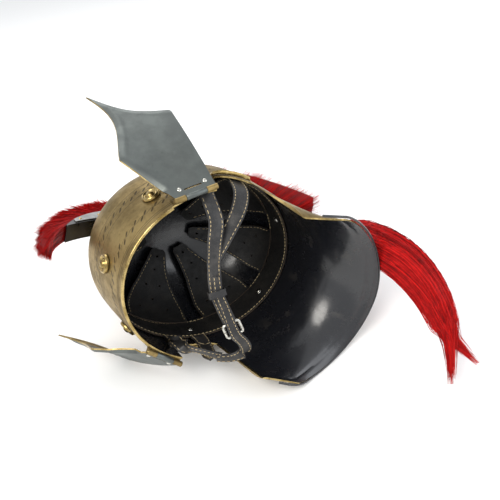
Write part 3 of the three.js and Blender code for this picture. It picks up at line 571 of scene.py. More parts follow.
def solid(name, skin, finish, replaced=(), sharp=35, width=0.0, body="root"):
    """A closed skin of one finish as a finished piece, its sharp edges broken by width millimetres."""
    points, faces = skin
    piece = mesh_object(name, points, outward(points, faces), [finish], None, sharp)
    if width:
        rounded(piece, width)
    finished(piece, body, replaced)


def facing(normal, away):
    """The normal, turned to the side that away points to."""
    return normal if np.dot(normal, away) > 0 else -normal


def backed(faces, count):
    """A front skin's faces with a back, count points on, and a rim. Gives faces and 0, 1 or 2 for each."""
    rim = {}
    for face in faces:
        for one, other in zip(face, face[1:] + face[:1]):
            if rim.pop((other, one), None) is None:
                rim[one, other] = True
    back = [tuple(i + count for i in reversed(face)) for face in faces]
    walls = [(one, one + count, other + count, other) for one, other in rim]
    return [*faces, *back, *walls], [0] * len(faces) + [1] * len(back) + [2] * len(walls)


def merged(parts):
    """Several skins as one, each with its faces turned outwards."""
    points = []
    faces = []
    for part_points, part_faces in parts:
        start = len(points)
        faces += [tuple(i + start for i in face) for face in outward(part_points, part_faces)]
        points += list(part_points)
    return points, faces


def thick_grid(grid, wall, around=False):
    """A grid of points as an even sheet. Gives points, faces and 0, 1 or 2 for face, back and rim."""
    rows = len(grid)
    columns = len(grid[0])
    front = np.array(grid, float)
    normals = np.zeros_like(front)
    spans = columns if around else columns - 1
    quads = []
    for i in range(rows - 1):
        for j in range(spans):
            k = (j + 1) % columns
            a, b, c, d = front[i, j], front[i + 1, j], front[i + 1, k], front[i, k]
            normal = np.cross(c - a, d - b)
            size = np.linalg.norm(normal)
            if size < 1e-7:
                continue
            quads.append(((i, j), (i + 1, j), (i + 1, k), (i, k)))
            for row, column in quads[-1]:
                normals[row, column] += normal
    place_of = {}
    ids = {}
    points = []
    sums = []
    for i in range(rows):
        for j in range(columns):
            key = tuple(np.round(front[i, j], 3))
            if key not in place_of:
                place_of[key] = len(points)
                points.append(front[i, j])
                sums.append(np.zeros(3))
            ids[i, j] = place_of[key]
            sums[ids[i, j]] = sums[ids[i, j]] + normals[i, j]
    count = len(points)
    points += [p - unit(s) * wall for p, s in zip(points, sums)]
    front_faces = [tuple(dict.fromkeys(ids[corner] for corner in quad)) for quad in quads]
    faces, numbers = backed([face for face in front_faces if len(face) > 2], count)
    return points, outward(points, faces), numbers


def cut_sheet(outline, holes, spacing, surface, wall):
    """A sheet cut to an outline with holes and laid on a surface, which gives a point and a normal.
    Gives points, faces and 0, 1 or 2 for face, back and cut edge."""
    loops = [outline, *holes]
    corners = [Vector(p) for loop in loops for p in loop]
    edges = []
    start = 0
    for loop in loops:
        edges += [(start + i, start + (i + 1) % len(loop)) for i in range(len(loop))]
        start += len(loop)
    low = np.min(outline, axis=0)
    high = np.max(outline, axis=0)
    flat = np.array(outline, float)

    def inside(point, loop):
        loop = np.asarray(loop, float)
        following = np.roll(loop, -1, axis=0)
        crosses = (loop[:, 1] > point[1]) != (following[:, 1] > point[1])
        a, b = loop[crosses], following[crosses]
        at = (b[:, 0] - a[:, 0]) * (point[1] - a[:, 1]) / (b[:, 1] - a[:, 1]) + a[:, 0]
        return int((point[0] < at).sum()) % 2 == 1

    def from_edge(point, loop):
        loop = np.array(loop, float)
        step = np.roll(loop, -1, axis=0) - loop
        t = np.clip(((point - loop) * step).sum(1) / np.maximum(1e-9, (step ** 2).sum(1)), 0, 1)
        return np.linalg.norm(loop + step * t[:, None] - point, axis=1).min()

    x_steps = max(2, int((high[0] - low[0]) / spacing))
    y_steps = max(2, int((high[1] - low[1]) / spacing))
    for i in range(1, x_steps):
        for j in range(1, y_steps):
            shift = 0.5 * (j % 2) / x_steps
            point = np.array([lerp(low[0], high[0], i / x_steps + shift), lerp(low[1], high[1], j / y_steps)])
            if not inside(point, flat):
                continue
            if min(from_edge(point, loop) for loop in loops) > spacing * 0.45:
                corners.append(Vector(point))
    found, _, triangles, *_ = delaunay_2d_cdt(corners, edges, [], 0, 1e-5)
    middle = [np.mean([found[i] for i in face], axis=0) for face in triangles]
    kept = []
    for face, centre in zip(triangles, middle):
        if inside(centre, flat) and not any(inside(centre, np.array(hole, float)) for hole in holes):
            kept.append(tuple(face))
    seats = [surface(p[0], p[1]) for p in found]
    points = [seat for seat, _ in seats] + [seat - normal * wall for seat, normal in seats]
    faces, numbers = backed(kept, len(found))
    return points, outward(points, faces), numbers


def circle(x, y, radius, count=14):
    return [(x + radius * math.cos(2 * math.pi * i / count), y + radius * math.sin(2 * math.pi * i / count))
            for i in range(count)]


def surface_normal(function, x, y, step=0.05):
    """The point and outward normal of a surface given by two numbers."""
    seat = function(x, y)
    across = function(x + step, y) - function(x - step, y)
    up = function(x, y + step) - function(x, y - step)
    return seat, unit(np.cross(across, up))


def path_group(name, finish, sides):
    """Geometry nodes that sweep a round section along every path, as thick as the path's radius attribute."""
    group = bpy.data.node_groups.new(name, "GeometryNodeTree")
    group.interface.new_socket("Geometry", in_out="INPUT", socket_type="NodeSocketGeometry")
    group.interface.new_socket("Geometry", in_out="OUTPUT", socket_type="NodeSocketGeometry")
    start = node(group, "NodeGroupInput")
    curve = node(group, "GeometryNodeMeshToCurve", {0: start.outputs[0]})
    radius = node(group, "GeometryNodeInputNamedAttribute", {"Name": "thick"}, data_type="FLOAT")
    section = node(group, "GeometryNodeCurvePrimitiveCircle", {"Resolution": sides, "Radius": 1.0})
    swept = node(group, "GeometryNodeCurveToMesh", {
        "Curve": curve.outputs[0], "Profile Curve": section.outputs[0],
        "Scale": radius.outputs[0], "Fill Caps": True,
    })
    shown = node(group, "GeometryNodeSetMaterial", {"Geometry": swept.outputs[0], "Material": finish})
    real = node(group, "GeometryNodeRealizeInstances", {0: shown.outputs[0]})
    node(group, "NodeGroupOutput", {0: real.outputs[0]})
    return group


def paths_object(name, paths, finish, sides=6):
    """A finished piece of threads or hairs: each path is its points, a radius for each and a tone."""
    points = []
    edges = []
    thick = []
    tones = []
    reach = []
    for path, radii, tone in paths:
        start = len(points)
        points += list(path)
        thick += [radius / 1000 for radius in radii]
        tones += [tone] * len(path)
        reach += [i / (len(path) - 1) for i in range(len(path))]
        edges += [(start + i, start + i + 1) for i in range(len(path) - 1)]
    mesh = bpy.data.meshes.new(name)
    mesh.from_pydata(lie(points).tolist(), edges, [])
    worn = mesh.attributes.new("worn", "FLOAT_VECTOR", "POINT")
    worn.data.foreach_set("vector", np.asarray(points, np.float32).ravel())
    for key, values in (("thick", thick), ("tone", tones), ("reach", reach)):
        made = mesh.attributes.new(key, "FLOAT", "POINT")
        made.data.foreach_set("value", np.asarray(values, np.float32))
    piece = bpy.data.objects.new(name, mesh)
    bpy.context.scene.collection.objects.link(piece)
    modifier = piece.modifiers.new("paths", "NODES")
    modifier.node_group = path_group(name + "_paths", finish, sides)
    applied(piece)
    piece.data.shade_smooth()
    finished(piece, "root")


def dashes(line, length, dash, pitch, radius):
    """Stitches of one seam, a function from 0 to 1. Each stitch dips into the leather at its ends."""
    count = max(1, int(length / pitch))
    made = []
    for i in range(count):
        middle = (i + 0.5) / count
        half = dash / length / 2 * (1 + 0.12 * rng.uniform(-1, 1))
        points = []
        for k in range(4):
            share = middle + half * (k / 1.5 - 1)
            point, normal = line(share)
            points.append(point + normal * (radius * (0.75 if k in (1, 2) else -0.7)))
        made.append((points, [radius * 0.8, radius, radius, radius * 0.8], 0.5))
    return made


# Bowl
def bowl_share(height):
    if height > WIDEST:
        return math.sqrt(max(0.0, 1 - ((height - WIDEST) / DOME) ** 2))
    return 1 - RIM_TUCK * ((WIDEST - height) / WIDEST) ** 2


def on_bowl(turn, height, out=0.0):
    """A point on the bowl's outer face. Turn runs from the brow to the wearer's left."""
    share = bowl_share(height)
    angle = math.radians(turn)
    point = vec(HALF_WIDTH * share * math.sin(angle), -HALF_LENGTH * share * math.cos(angle), height)
    rise = max(0.0, height - WIDEST)
    normal = vec(point[0] / HALF_WIDTH ** 2, point[1] / HALF_LENGTH ** 2, rise / DOME ** 2)
    return point + unit(normal) * out


EAR_ARCH = [(0, 0), (0.04, 0.4), (0.11, 0.66), (0.22, 0.88), (0.42, 1), (0.66, 1), (0.84, 0.92), (0.94, 0.78)]


def ear_turn(share):
    return lerp(EAR_FRONT, EAR_BACK, share)


def neck_edge(turn):
    """The neck guard's edge, by turn from the ear's back edge to the middle of the back."""
    corner = place(0.916, 0.598, 0) * vec(1, 1, 0) + vec(0, 0, -NECK_DROP)
    if turn <= NECK_CORNER:
        start = place(0.87, 0.249, 0) * vec(1, 1, 0) + vec(0, 0, -NECK_SIDE_DROP)
        return lerp(start, corner, (turn - EAR_BACK) / (NECK_CORNER - EAR_BACK))
    sweep = math.radians((turn - NECK_CORNER) / (180 - NECK_CORNER) * 90)
    return vec(
        corner[0] * max(0.0, math.cos(sweep)) ** 1.09,
        lerp(corner[1], HALF_LENGTH + NECK_REACH, math.sin(sweep) ** 1.21),
        lerp(corner[2], NECK_LIFT - NECK_DROP, math.sin(sweep)),
    )


DOME_ROWS = 26
WALL_ROWS = 14
SKIRT_ROWS = 26
BEAD_IN = 12
BEAD_WIDE = 2.4
BEAD_HIGH = 1.1


def shell_column(turn, edge_height, outline=None):
    column = []
    for i in range(DOME_ROWS):
        rise = math.radians(lerp(90, 3, i / (DOME_ROWS - 1)))
        column.append(on_bowl(turn, WIDEST + DOME * math.sin(rise)))
    for i in range(WALL_ROWS):
        column.append(on_bowl(turn, lerp(WIDEST, edge_height, i / (WALL_ROWS - 1))))
    rim = column[-1]
    if outline is None:
        return column + [rim.copy() for _ in range(SKIRT_ROWS)]
    bend = vec(rim[0] * 1.01, rim[1] * 1.02, outline[2] * 0.8)
    length = np.linalg.norm(outline - bend) + np.linalg.norm(bend - rim)
    for i in range(SKIRT_ROWS):
        share = (i + 1) / SKIRT_ROWS
        point = rim * (1 - share) ** 2 + bend * 2 * share * (1 - share) + outline * share ** 2
        down = unit((bend - rim) * (1 - share) + (outline - bend) * share)
        along = unit(vec(rim[1], -rim[0], 0))
        out = np.cross(down, along)
        out = out if np.dot(out, vec(rim[0], rim[1], 60)) > 0 else -out
        inset = (1 - share) * length
        strength = smoothstep(EAR_BACK + 2, NECK_CORNER + 6, turn)
        column.append(point + out * BEAD_HIGH * strength * math.exp(-((inset - BEAD_IN) / BEAD_WIDE) ** 2))
    return column


def shell_columns():
    half = []
    turn = 0.0
    while turn < EAR_FRONT - 0.8:
        half.append(shell_column(turn, 0))
        turn += 1.75
    ear_steps = 44
    for i in range(ear_steps + 1):
        share = 0.94 * (i / ear_steps) ** 1.35
        half.append(shell_column(ear_turn(share), table(EAR_ARCH, share, 1) * EAR_HEIGHT))
    back_steps = 54
    for i in range(back_steps + 1):
        back = lerp(EAR_BACK, 180, i / back_steps)
        half.append(shell_column(back, 0, neck_edge(back)))
    other = [[p * vec(-1, 1, 1) for p in column] for column in half[1:-1][::-1]]
    return half + other


columns = shell_columns()
shell_points, shell_faces, shell_numbers = thick_grid([list(row) for row in zip(*columns)], STEEL, True)
for i, (face, number) in enumerate(zip(shell_faces, shell_numbers)):
    if number == 2 and shell_points[face[0]][1] > HALF_LENGTH:
        shell_numbers[i] = 1
bowl = mesh_object("bowl", shell_points, shell_faces, [BRASS, PAINT, EDGE], shell_numbers, 40)
finished(bowl, "root", ["helmet_shell"])


def swept_wire(name, path, radius, finish, replaced, steps, groove=0.0):
    """A round bead along a path, with a fine groove on its outer side."""
    line = Line(path)
    rings = []
    for i in range(steps + 1):
        share = i / steps
        point = line.at(share)
        way = line.way(share)
        away = unit(vec(point[0], point[1], 0) - way * np.dot(vec(point[0], point[1], 0), way))
        side = np.cross(way, away)
        ring = []
        for j in range(16):
            angle = 2 * math.pi * j / 16
            size = radius - (groove if j in (0, 8) else 0.0)
            ring.append(point + (away * math.sin(angle) + side * math.cos(angle)) * size)
        rings.append(ring)
    solid(name, loft(rings), finish, replaced, 60)


brow_end = HINGE_FRONT - 2
brow_path = []
for i in range(13):
    point = on_bowl(lerp(-brow_end, brow_end, i / 12), 0, -STEEL / 2)
    brow_path.append(vec(point[0], point[1], -EDGING - GAP))
swept_wire("brow_roll", brow_path, EDGING, EDGE, ["brow_edging"], 90, 0.25)

neck_path = []
for i in range(23):
    turn = lerp(-1, 1, i / 22) * (180 - NECK_CORNER + 8)
    edge = neck_edge(180 - abs(turn))
    edge = edge + unit(vec(edge[0], edge[1] - HALF_LENGTH * 0.35, 0)) * (EDGING + GAP)
    neck_path.append(vec(math.copysign(abs(edge[0]), turn), edge[1], edge[2]))
swept_wire("neck_roll", neck_path, EDGING * 0.8, PAINT, ["neck_edging"], 130)


# Ear guards, bosses and hinges, made for the wearer's left and mirrored
def mirrored(points, faces):
    return [p * vec(-1, 1, 1) for p in points], [tuple(reversed(face)) for face in faces]


def both(name, points, faces, materials, numbers, cad, sharp=35, width=0.0):
    """One piece on each side of the helmet."""
    for side in ("left", "right"):
        if side == "right":
            points, faces = mirrored(points, faces)
        piece = mesh_object(side + "_" + name, points, faces, materials, numbers, sharp)
        if width:
            rounded(piece, width)
        finished(piece, "root", [side + "_" + cad] if cad else [])


def ear_guard():
    rows = [[] for _ in range(7)]
    steps = 60
    for i in range(steps + 1):
        share = lerp(0.1, 0.9, i / steps)
        lift = table(EAR_ARCH, share, 1) * EAR_HEIGHT
        sweep = lerp(-1, 1, i / steps)
        turn = ear_turn(share)
        root = on_bowl(turn + sweep * 2.2, lift + 5 - abs(sweep) * 2, GAP + 1)
        flare = on_bowl(turn + sweep * 0.6, lift + 1.5, GAP + 2.2)
        edge = on_bowl(turn + sweep * 0.4, lift + 2.5, EAR_GUARD)
        for k, row in enumerate(rows):
            t = k / 6
            row.append(root * (1 - t) ** 2 + (2 * flare - (root + edge) / 2) * 2 * t * (1 - t) + edge * t * t)
    return thick_grid(rows, 1.0)


ear_points, ear_faces, ear_numbers = ear_guard()
ear_finishes = [BRASS, EDGE, EDGE]
both("ear_strip", ear_points, ear_faces, ear_finishes, ear_numbers, "ear_guard", 45, 0.2)

BOSS_PROFILE = [
    (0, 0), (1, 0), (1, 0.16), (0.985, 0.3), (0.95, 0.46), (0.9, 0.57), (0.84, 0.62), (0.78, 0.58),
    (0.73, 0.46), (0.69, 0.34), (0.62, 0.3), (0.54, 0.31), (0.5, 0.42), (0.45, 0.62), (0.38, 0.8),
    (0.28, 0.93), (0.2, 0.97), (0.15, 0.98), (0.13, 1.0), (0.07, 1.04), (0, 1.05),
]


def boss(name, turn, side, replaced):
    seat = on_bowl(turn, BOSS_HEIGHT, GAP)
    away = seat - on_bowl(turn, BOSS_HEIGHT)
    profile = [(radius * BOSS_RADIUS, rise * BOSS_RISE) for radius, rise in BOSS_PROFILE]
    skin = lathe(profile, seat, away, 40)
    solid(name, mirrored(*skin) if side < 0 else skin, EDGE, replaced, 70)


boss("boss_centre", 0, 1, ["brow_boss_centre"])
boss("boss_left", BOSS_TURN, 1, ["brow_boss_left"])
boss("boss_right", BOSS_TURN, -1, ["brow_boss_right"])

HINGE_DROP = HINGE + GAP
hinge_front = on_bowl(HINGE_FRONT, 0, HINGE_OUT) * vec(1, 1, 0) - vec(0, 0, HINGE_DROP)
hinge_back = on_bowl(HINGE_BACK, 0, HINGE_OUT) * vec(1, 1, 0) - vec(0, 0, HINGE_DROP)
ALONG = unit(hinge_front - hinge_back)
HINGE_LENGTH = float(np.linalg.norm(hinge_front - hinge_back))
OUT = unit(np.cross(ALONG, vec(0, 0, -1)))
KNUCKLE = HINGE_LENGTH * 0.26


def tube(start, end, outer, inner, round_off=0.3):
    """A barrel of the hinge with softly broken ends."""
    profile = [
        (inner, start), (outer - round_off, start), (outer, start + round_off),
        (outer, end - round_off), (outer - round_off, end), (inner, end), (inner, start),
    ]
    if inner == 0:
        profile = profile[:-1]
    points, faces = lathe(profile, hinge_back, ALONG, 28)
    if inner > 0:
        count = len(points) - 28
        faces = [tuple(i if i < count else i - count for i in face) for face in faces]
        points = points[:count]
    return points, faces


def leaf_surface(x, y):
    """The hinge leaf's outer face: x is the share from back to front and y the height."""
    def seat(share, height):
        return on_bowl(lerp(HINGE_BACK, HINGE_FRONT, share), height, GAP + LEAF_SHEET)
    point, normal = surface_normal(seat, x, y, 0.002)
    return point, facing(normal, vec(point[0], point[1], 0))


def leaf_sheet():
    outline = [(share, LEAF_FOOT) for share in (0.0, 0.25, 0.5, 0.75, 1.0)] + [(1.0, LEAF_HEIGHT * 0.75)]
    outline += [(0.97, LEAF_HEIGHT * 0.88), (0.88, LEAF_HEIGHT)]
    outline += [(lerp(0.88, 0.12, i / 8), LEAF_HEIGHT) for i in range(1, 8)]
    outline += [(0.12, LEAF_HEIGHT), (0.03, LEAF_HEIGHT * 0.88), (0.0, LEAF_HEIGHT * 0.75)]

    def surface(x, y):
        return leaf_surface(x / HINGE_LENGTH, y)
    return cut_sheet([(x * HINGE_LENGTH, y) for x, y in outline], [], 3.0, surface, LEAF_SHEET)


def hinge_leaf():
    sheet_points, sheet_faces, _ = leaf_sheet()
    parts = [(sheet_points, sheet_faces)]
    knuckle = KNUCKLE - GAP
    for start, end in ((0, knuckle), (HINGE_LENGTH - knuckle, HINGE_LENGTH)):
        parts.append(tube(start, end, HINGE, PIN + GAP))
        rows = []
        for k in range(7):
            t = k / 6
            row = []
            for share in (0.02, 0.35, 0.65, 0.98):
                along = lerp(start, end, share) / HINGE_LENGTH
                high = on_bowl(lerp(HINGE_BACK, HINGE_FRONT, along), 2.4, GAP + LEAF_SHEET)
                low = hinge_back + ALONG * along * HINGE_LENGTH + OUT * HINGE * 0.3
                low[2] = -HINGE_DROP + HINGE * 0.72
                row.append(lerp(high, low, t))
            rows.append(row)
        points, faces, _ = thick_grid(rows, -LEAF_SHEET)
        parts.append((points, faces))
    return merged(parts)


leaf_points, leaf_faces = hinge_leaf()
both("hinge_plate", leaf_points, leaf_faces, [BRASS], None, "hinge_leaf", 35)
PIN_BREAK = 0.25
PIN_DOME = 0.27
pin_points, pin_faces = lathe([
    (0, 0), (PIN * 0.8, 0), (PIN, PIN_BREAK), (PIN, HINGE_LENGTH - PIN_BREAK), (PIN * 0.8, HINGE_LENGTH),
    (0, HINGE_LENGTH + PIN_DOME),
], hinge_back, ALONG, 20)
both("pin", pin_points, outward(pin_points, pin_faces), [EDGE], None, "hinge_pin", 50)


LEAF_RIVET_TURNS = (54, 61.5, 69)
LEAF_RIVET = [(0, 0), (2.1, 0), (2.1 * 0.95, 1.2 * 0.4), (2.1 * 0.7, 1.2 * 0.8), (0, 1.2)]
rivet_parts = []
for rivet_turn in LEAF_RIVET_TURNS:
    seat = on_bowl(rivet_turn, LEAF_HEIGHT * 0.55, GAP + LEAF_SHEET)
    away = seat - on_bowl(rivet_turn, LEAF_HEIGHT * 0.55, GAP + LEAF_SHEET - 1)
    rivet_parts.append(lathe(LEAF_RIVET, seat, away, 20))
leaf_rivets = merged(rivet_parts)
both("leaf_rivets", leaf_rivets[0], leaf_rivets[1], [EDGE], None, "", 60)

# Cheek guards
PLATE_REAR = np.array([-4.0, 107.0])
PLATE_TIP = np.array([66.0, 168 * 0.925])
PLATE_FRONT = np.array([75.0, 58.0])
CURL = 0.008
CURL_START = 27
BOW = 0.002
SWING = {"left": 140, "right": 147.5}
SLOT_ROUND = 0.8
SLOT_HALF = 9.5 - SLOT_ROUND
BORDER_WIDE = 7.5
RIVET_DOME = [(0, 0), (2.3, 0), (2.25, 0.3), (1.7, 0.75), (0.9, 0.98), (0, 1.05)]
RIVET_FAR = 9.4


def scallop(start, end, share, sag, skew):
    way = end - start
    inward = unit(np.array([-way[1], way[0]]))
    return start + way * share + inward * sag * math.sin(math.pi * share ** skew)


def plate_outline():
    """The plate's outline, and the part of it that has a turned border."""
    start = HINGE * 0.6
    rear_corner = np.array([HINGE_LENGTH * 0.03, start])
    front_corner = np.array([HINGE_LENGTH * 0.97, start])
    front = [lerp(front_corner, PLATE_FRONT, i / 18) for i in range(18)]
    upper = [scallop(PLATE_FRONT, PLATE_TIP, i / 34, 13, 1.25) for i in range(34)]
    end = [scallop(PLATE_TIP, PLATE_REAR, i / 26, 8, 1.1) for i in range(26)]
    rear = [lerp(PLATE_REAR, rear_corner, i / 32) for i in range(33)]
    root = [lerp(rear_corner, front_corner, i / 12) for i in range(1, 12)]
    return front + upper + end + rear + root, front[4:] + upper + end + [PLATE_REAR]


def plate_surface(swing, border):
    c = math.cos(math.radians(swing))
    s = math.sin(math.radians(swing))
    away = vec(0, 0, -1) * c + OUT * s
    outer = vec(0, 0, s) + OUT * c
    edges = np.array(border)
    steps = edges[1:] - edges[:-1]

    def seat(u, v):
        past = max(0.0, u - CURL_START)
        curl = CURL * past * past / 2 * min(1.0, v / 40)
        t = np.clip(((np.array([u, v]) - edges[:-1]) * steps).sum(1) / (steps ** 2).sum(1), 0, 1)
        inset = np.linalg.norm(edges[:-1] + steps * t[:, None] - np.array([u, v]), axis=1).min()
        turned = FLANGE * (1 - smoothstep(0.4, 4.6, inset)) - 0.5 * math.exp(-((inset - 6.2) / 1.1) ** 2)
        return hinge_back + ALONG * u + away * v + outer * (BOW * v * v / 2 - curl + turned)

    def surface(u, v):
        point, normal = surface_normal(seat, u, v)
        return point, facing(normal, outer)
    return surface


def cheek_guard(side):
    outline, border = plate_outline()
    surface = plate_surface(SWING[side], border)
    slot = []
    for i in range(24):
        angle = 2 * math.pi * i / 24
        push = SLOT_HALF if math.cos(angle) > 0 else -SLOT_HALF
        u = HINGE_LENGTH * 0.5 + push + SLOT_ROUND * math.cos(angle)
        slot.append((u, HINGE * 2.6 + SLOT_ROUND * math.sin(angle)))
    points, faces, numbers = cut_sheet([tuple(p) for p in outline], [slot], 2.6, surface, PLATE)
    barrel_points, barrel_faces = tube(KNUCKLE, HINGE_LENGTH - KNUCKLE, HINGE, PIN + GAP)
    barrel_faces = outward(barrel_points, barrel_faces)
    # The brass border shows on the outer face, as far in as the turned edge; the field inside it takes the
    # darker brass of painted shade
    edges = np.array(border)
    for i, (face, number) in enumerate(zip(faces, numbers)):
        if number != 0:
            continue
        middle = np.mean([points[k] for k in face], axis=0) - hinge_back
        along = np.dot(middle, ALONG)
        flat = np.array([along, np.linalg.norm(middle - ALONG * along)])
        if np.linalg.norm(edges - flat, axis=1).min() < BORDER_WIDE:
            numbers[i] = 3
    start = len(points)
    faces = list(faces) + [tuple(i + start for i in face) for face in barrel_faces]
    points = list(points) + list(barrel_points)
    numbers = numbers + [1] * len(barrel_faces)
    if side == "right":
        points, faces = mirrored(points, faces)
    piece = mesh_object(side + "_cheek_plate", points, faces, [SHADED_BRASS_FIELD, STEEL_IN, EDGE, BRASS], numbers, 48)
    finished(piece, side + "_cheek", [side + "_cheek_guard"])
    parts = []
    for u in (HINGE_LENGTH * 0.2, HINGE_LENGTH * 0.8):
        seat, normal = surface(u, RIVET_FAR)
        parts.append(lathe(RIVET_DOME, seat - normal * PLATE, -normal, 24))
        parts.append(lathe(RIVET_DOME, seat, normal, 24))
    skin = merged(parts) if side == "left" else mirrored(*merged(parts))
    solid(side + "_cheek_rivets", skin, NICKEL, (), 60, body=side + "_cheek")


cheek_guard("left")
cheek_guard("right")


# Crest holder, its side plates and its socket
def arc_through(half, low, high):
    radius = (half ** 2 + (high - low) ** 2) / (2 * (high - low))
    return radius, high - radius


REACH = HALF_LENGTH + 14
HOLDER_END = BOWL_HEIGHT * 0.755
HOLDER_LOW = arc_through(REACH, HOLDER_END, BOWL_HEIGHT + 9)
HOLDER_TOP = arc_through(REACH, HOLDER_END + 3, BOWL_HEIGHT + 9 + 34)


def arc_height(arc, y):
    return arc[1] + math.sqrt(arc[0] ** 2 - y ** 2)


def holder():
    rings = []
    for i in range(49):
        y = REACH * math.sin(math.radians(lerp(-90, 90, i / 48)))
        low = arc_height(HOLDER_LOW, y)
        high = max(low + 1, arc_height(HOLDER_TOP, y))
        half = HOLDER / 2
        rings.append([vec(-half, y, low), vec(half, y, low), vec(half, y, high), vec(-half, y, high)])
    return loft(rings)


solid("holder", holder(), WOOD, ["crest_holder"], width=0.7)


def side_plate():
    rings = []
    for i in range(41):
        y = REACH * 0.9 * math.sin(math.radians(lerp(-90, 90, i / 40)))
        low = arc_height(HOLDER_LOW, y) + 3
        high = max(low + 2, arc_height(HOLDER_TOP, y) - 2)
        x = HOLDER / 2 + GAP
        rings.append([vec(x, y, low), vec(x + 1, y, low), vec(x + 1, y, high), vec(x, y, high)])
    points, faces = loft(rings)
    return points, outward(points, faces)


side_skin = side_plate()
for side, skin in (("left", side_skin), ("right", mirrored(*side_skin))):
    solid("side_plate_" + side, skin, SIDE_SHEET, ["crest_side_" + side], width=0.3)

NAIL_PLACES = (-112, -84, -50, -14, 22, 58, 90, 114)
NAIL_HEAD = [(0, 0), (1.9, 0), (1.8, 0.35), (1.2, 0.75), (0, 0.95)]
nails = []
for y in NAIL_PLACES:
    rise = (arc_height(HOLDER_LOW, y) + arc_height(HOLDER_TOP, y)) / 2
    for side in (-1, 1):
        nails.append(lathe(NAIL_HEAD, vec(side * (HOLDER / 2 + GAP + 1), y, rise), vec(side, 0, 0), 18))
solid("holder_nails", merged(nails), EDGE, (), 60)

MOUNT_FOOT = BOWL_HEIGHT + GAP
MOUNT_TALL = 9 - 2 * GAP - FACET
MOUNT_RADIUS = 9
MOUNT_PROFILE = [
    (0, 0), (0.97, 0), (1, 0.05), (1, 0.16), (0.94, 0.24), (0.7, 0.36), (0.62, 0.5), (0.62, 0.97),
    (0.6, 1), (0, 1),
]
mount_profile = [(radius * MOUNT_RADIUS, rise * MOUNT_TALL) for radius, rise in MOUNT_PROFILE]
mount_skin = lathe(mount_profile, vec(0, 0, MOUNT_FOOT), vec(0, 0, 1), 32)
solid("socket", mount_skin, PAINT, ["crest_mount"])

# Crest brush. Columns: degrees over the crown from the brow, rise share, lean share, half width share.
BRUSH_RISE = 30
BRUSH_FLARE = 58
BRUSH_FAN = [
    (5, 0.75, -0.06, 0.1), (16, 0.95, -0.05, 0.18), (45, 1, 0, 0.22), (75, 1.05, 0.06, 0.26),
    (95, 1.35, 0.4, 0.4), (112, 1.75, 0.78, 0.52), (135, 1.9, 0.88, 0.54), (168, 2.0, 0.84, 0.5),
]
ROOT_START = 28
ROOT_END = 144
BRUSH_LOCKS = 150
LOCK_STRAY = 2.6
HAIR_STRAY = 0.9
HAIR_TAPER = (1, 1, 0.95, 0.85, 0.62, 0.16)


def fan_point(angle, radius, x):
    turn = math.radians(angle)
    return vec(x, -radius * math.cos(turn), HOLDER_TOP[1] + radius * math.sin(turn))


def brush_hair(share, across, long, wander):
    """One hair of the brush, from the holder's top to its tip. Across runs from -1 to 1 over the width."""
    tip = lerp(BRUSH_FAN[0][0], BRUSH_FAN[-1][0], share)
    root = lerp(ROOT_START, ROOT_END, share)
    rise = table(BRUSH_FAN, tip, 1) * BRUSH_RISE * long
    lean = table(BRUSH_FAN, tip, 2) * BRUSH_FLARE
    half = table(BRUSH_FAN, tip, 3) * BRUSH_FLARE
    base = HOLDER_TOP[0] + GAP
    points = []
    edge = 1 - 0.16 * abs(across) ** 3
    for k in range(6):
        t = k / 5
        angle = lerp(root, tip, t ** 0.82)
        x = lerp(across * HOLDER * 0.47, lean + across * half, t ** 1.15)
        droop = 1 - 0.1 * t * t * abs(across)
        point = fan_point(angle, base + rise * edge * t * droop, x)
        points.append(point + wander * t * t)
    return points


def brush_paths(count, start, end):
    locks = []
    for _ in range(BRUSH_LOCKS):
        share, across, long = rng.uniform(start, end), rng.uniform(-1, 1), rng.uniform(0.8, 1.0)
        locks.append((share, across, long, [rng.gauss(0, LOCK_STRAY) for _ in range(3)]))
    paths = []
    for _ in range(count):
        share, across, long, push = rng.choice(locks)
        pull = rng.random() ** 0.6
        hair_share = min(1, max(0, share + rng.gauss(0, 0.016)))
        hair_across = min(1, max(-1, across + rng.gauss(0, 0.2)))
        wander = np.array(push) * pull + np.array([rng.gauss(0, HAIR_STRAY) for _ in range(3)])
        hair_long = min(1.0, long * rng.uniform(0.9, 1.02))
        points = brush_hair(hair_share, hair_across, hair_long, wander)
        # Hairs in the middle of the brush's width get a darker tone than those on its faces: painted shade
        # inside the brush, added to each hair's random tone
        tone = min(1, max(0, 0.42 + 0.3 * rng.gauss(0, 1) + 0.2 * (abs(hair_across) - 0.5)))
        width = rng.uniform(0.3, 0.44)
        paths.append((points, [width * size for size in HAIR_TAPER], tone))
    return paths


HAIRS = 5600
paths_object("brush_front_hair", brush_paths(HAIRS, 0.0, 0.5), HAIR, 3)
paths_object("brush_rear_hair", brush_paths(HAIRS, 0.48, 1.0), HAIR, 3)


def brush_core():
    rings = []
    for i in range(61):
        share = lerp(0.02, 0.98, i / 60)
        edge = [brush_hair(share, across, 0.8, vec(0, 0, 0)) for across in (-0.75, -0.3, 0.3, 0.75)]
        tips = [hair[5] for hair in edge[::-1]]
        rings.append([hair[0] for hair in edge] + [edge[3][3], *tips, edge[0][3]])
    return loft(rings)


solid("brush_core", brush_core(), CORE, ["crest_brush"], 180)

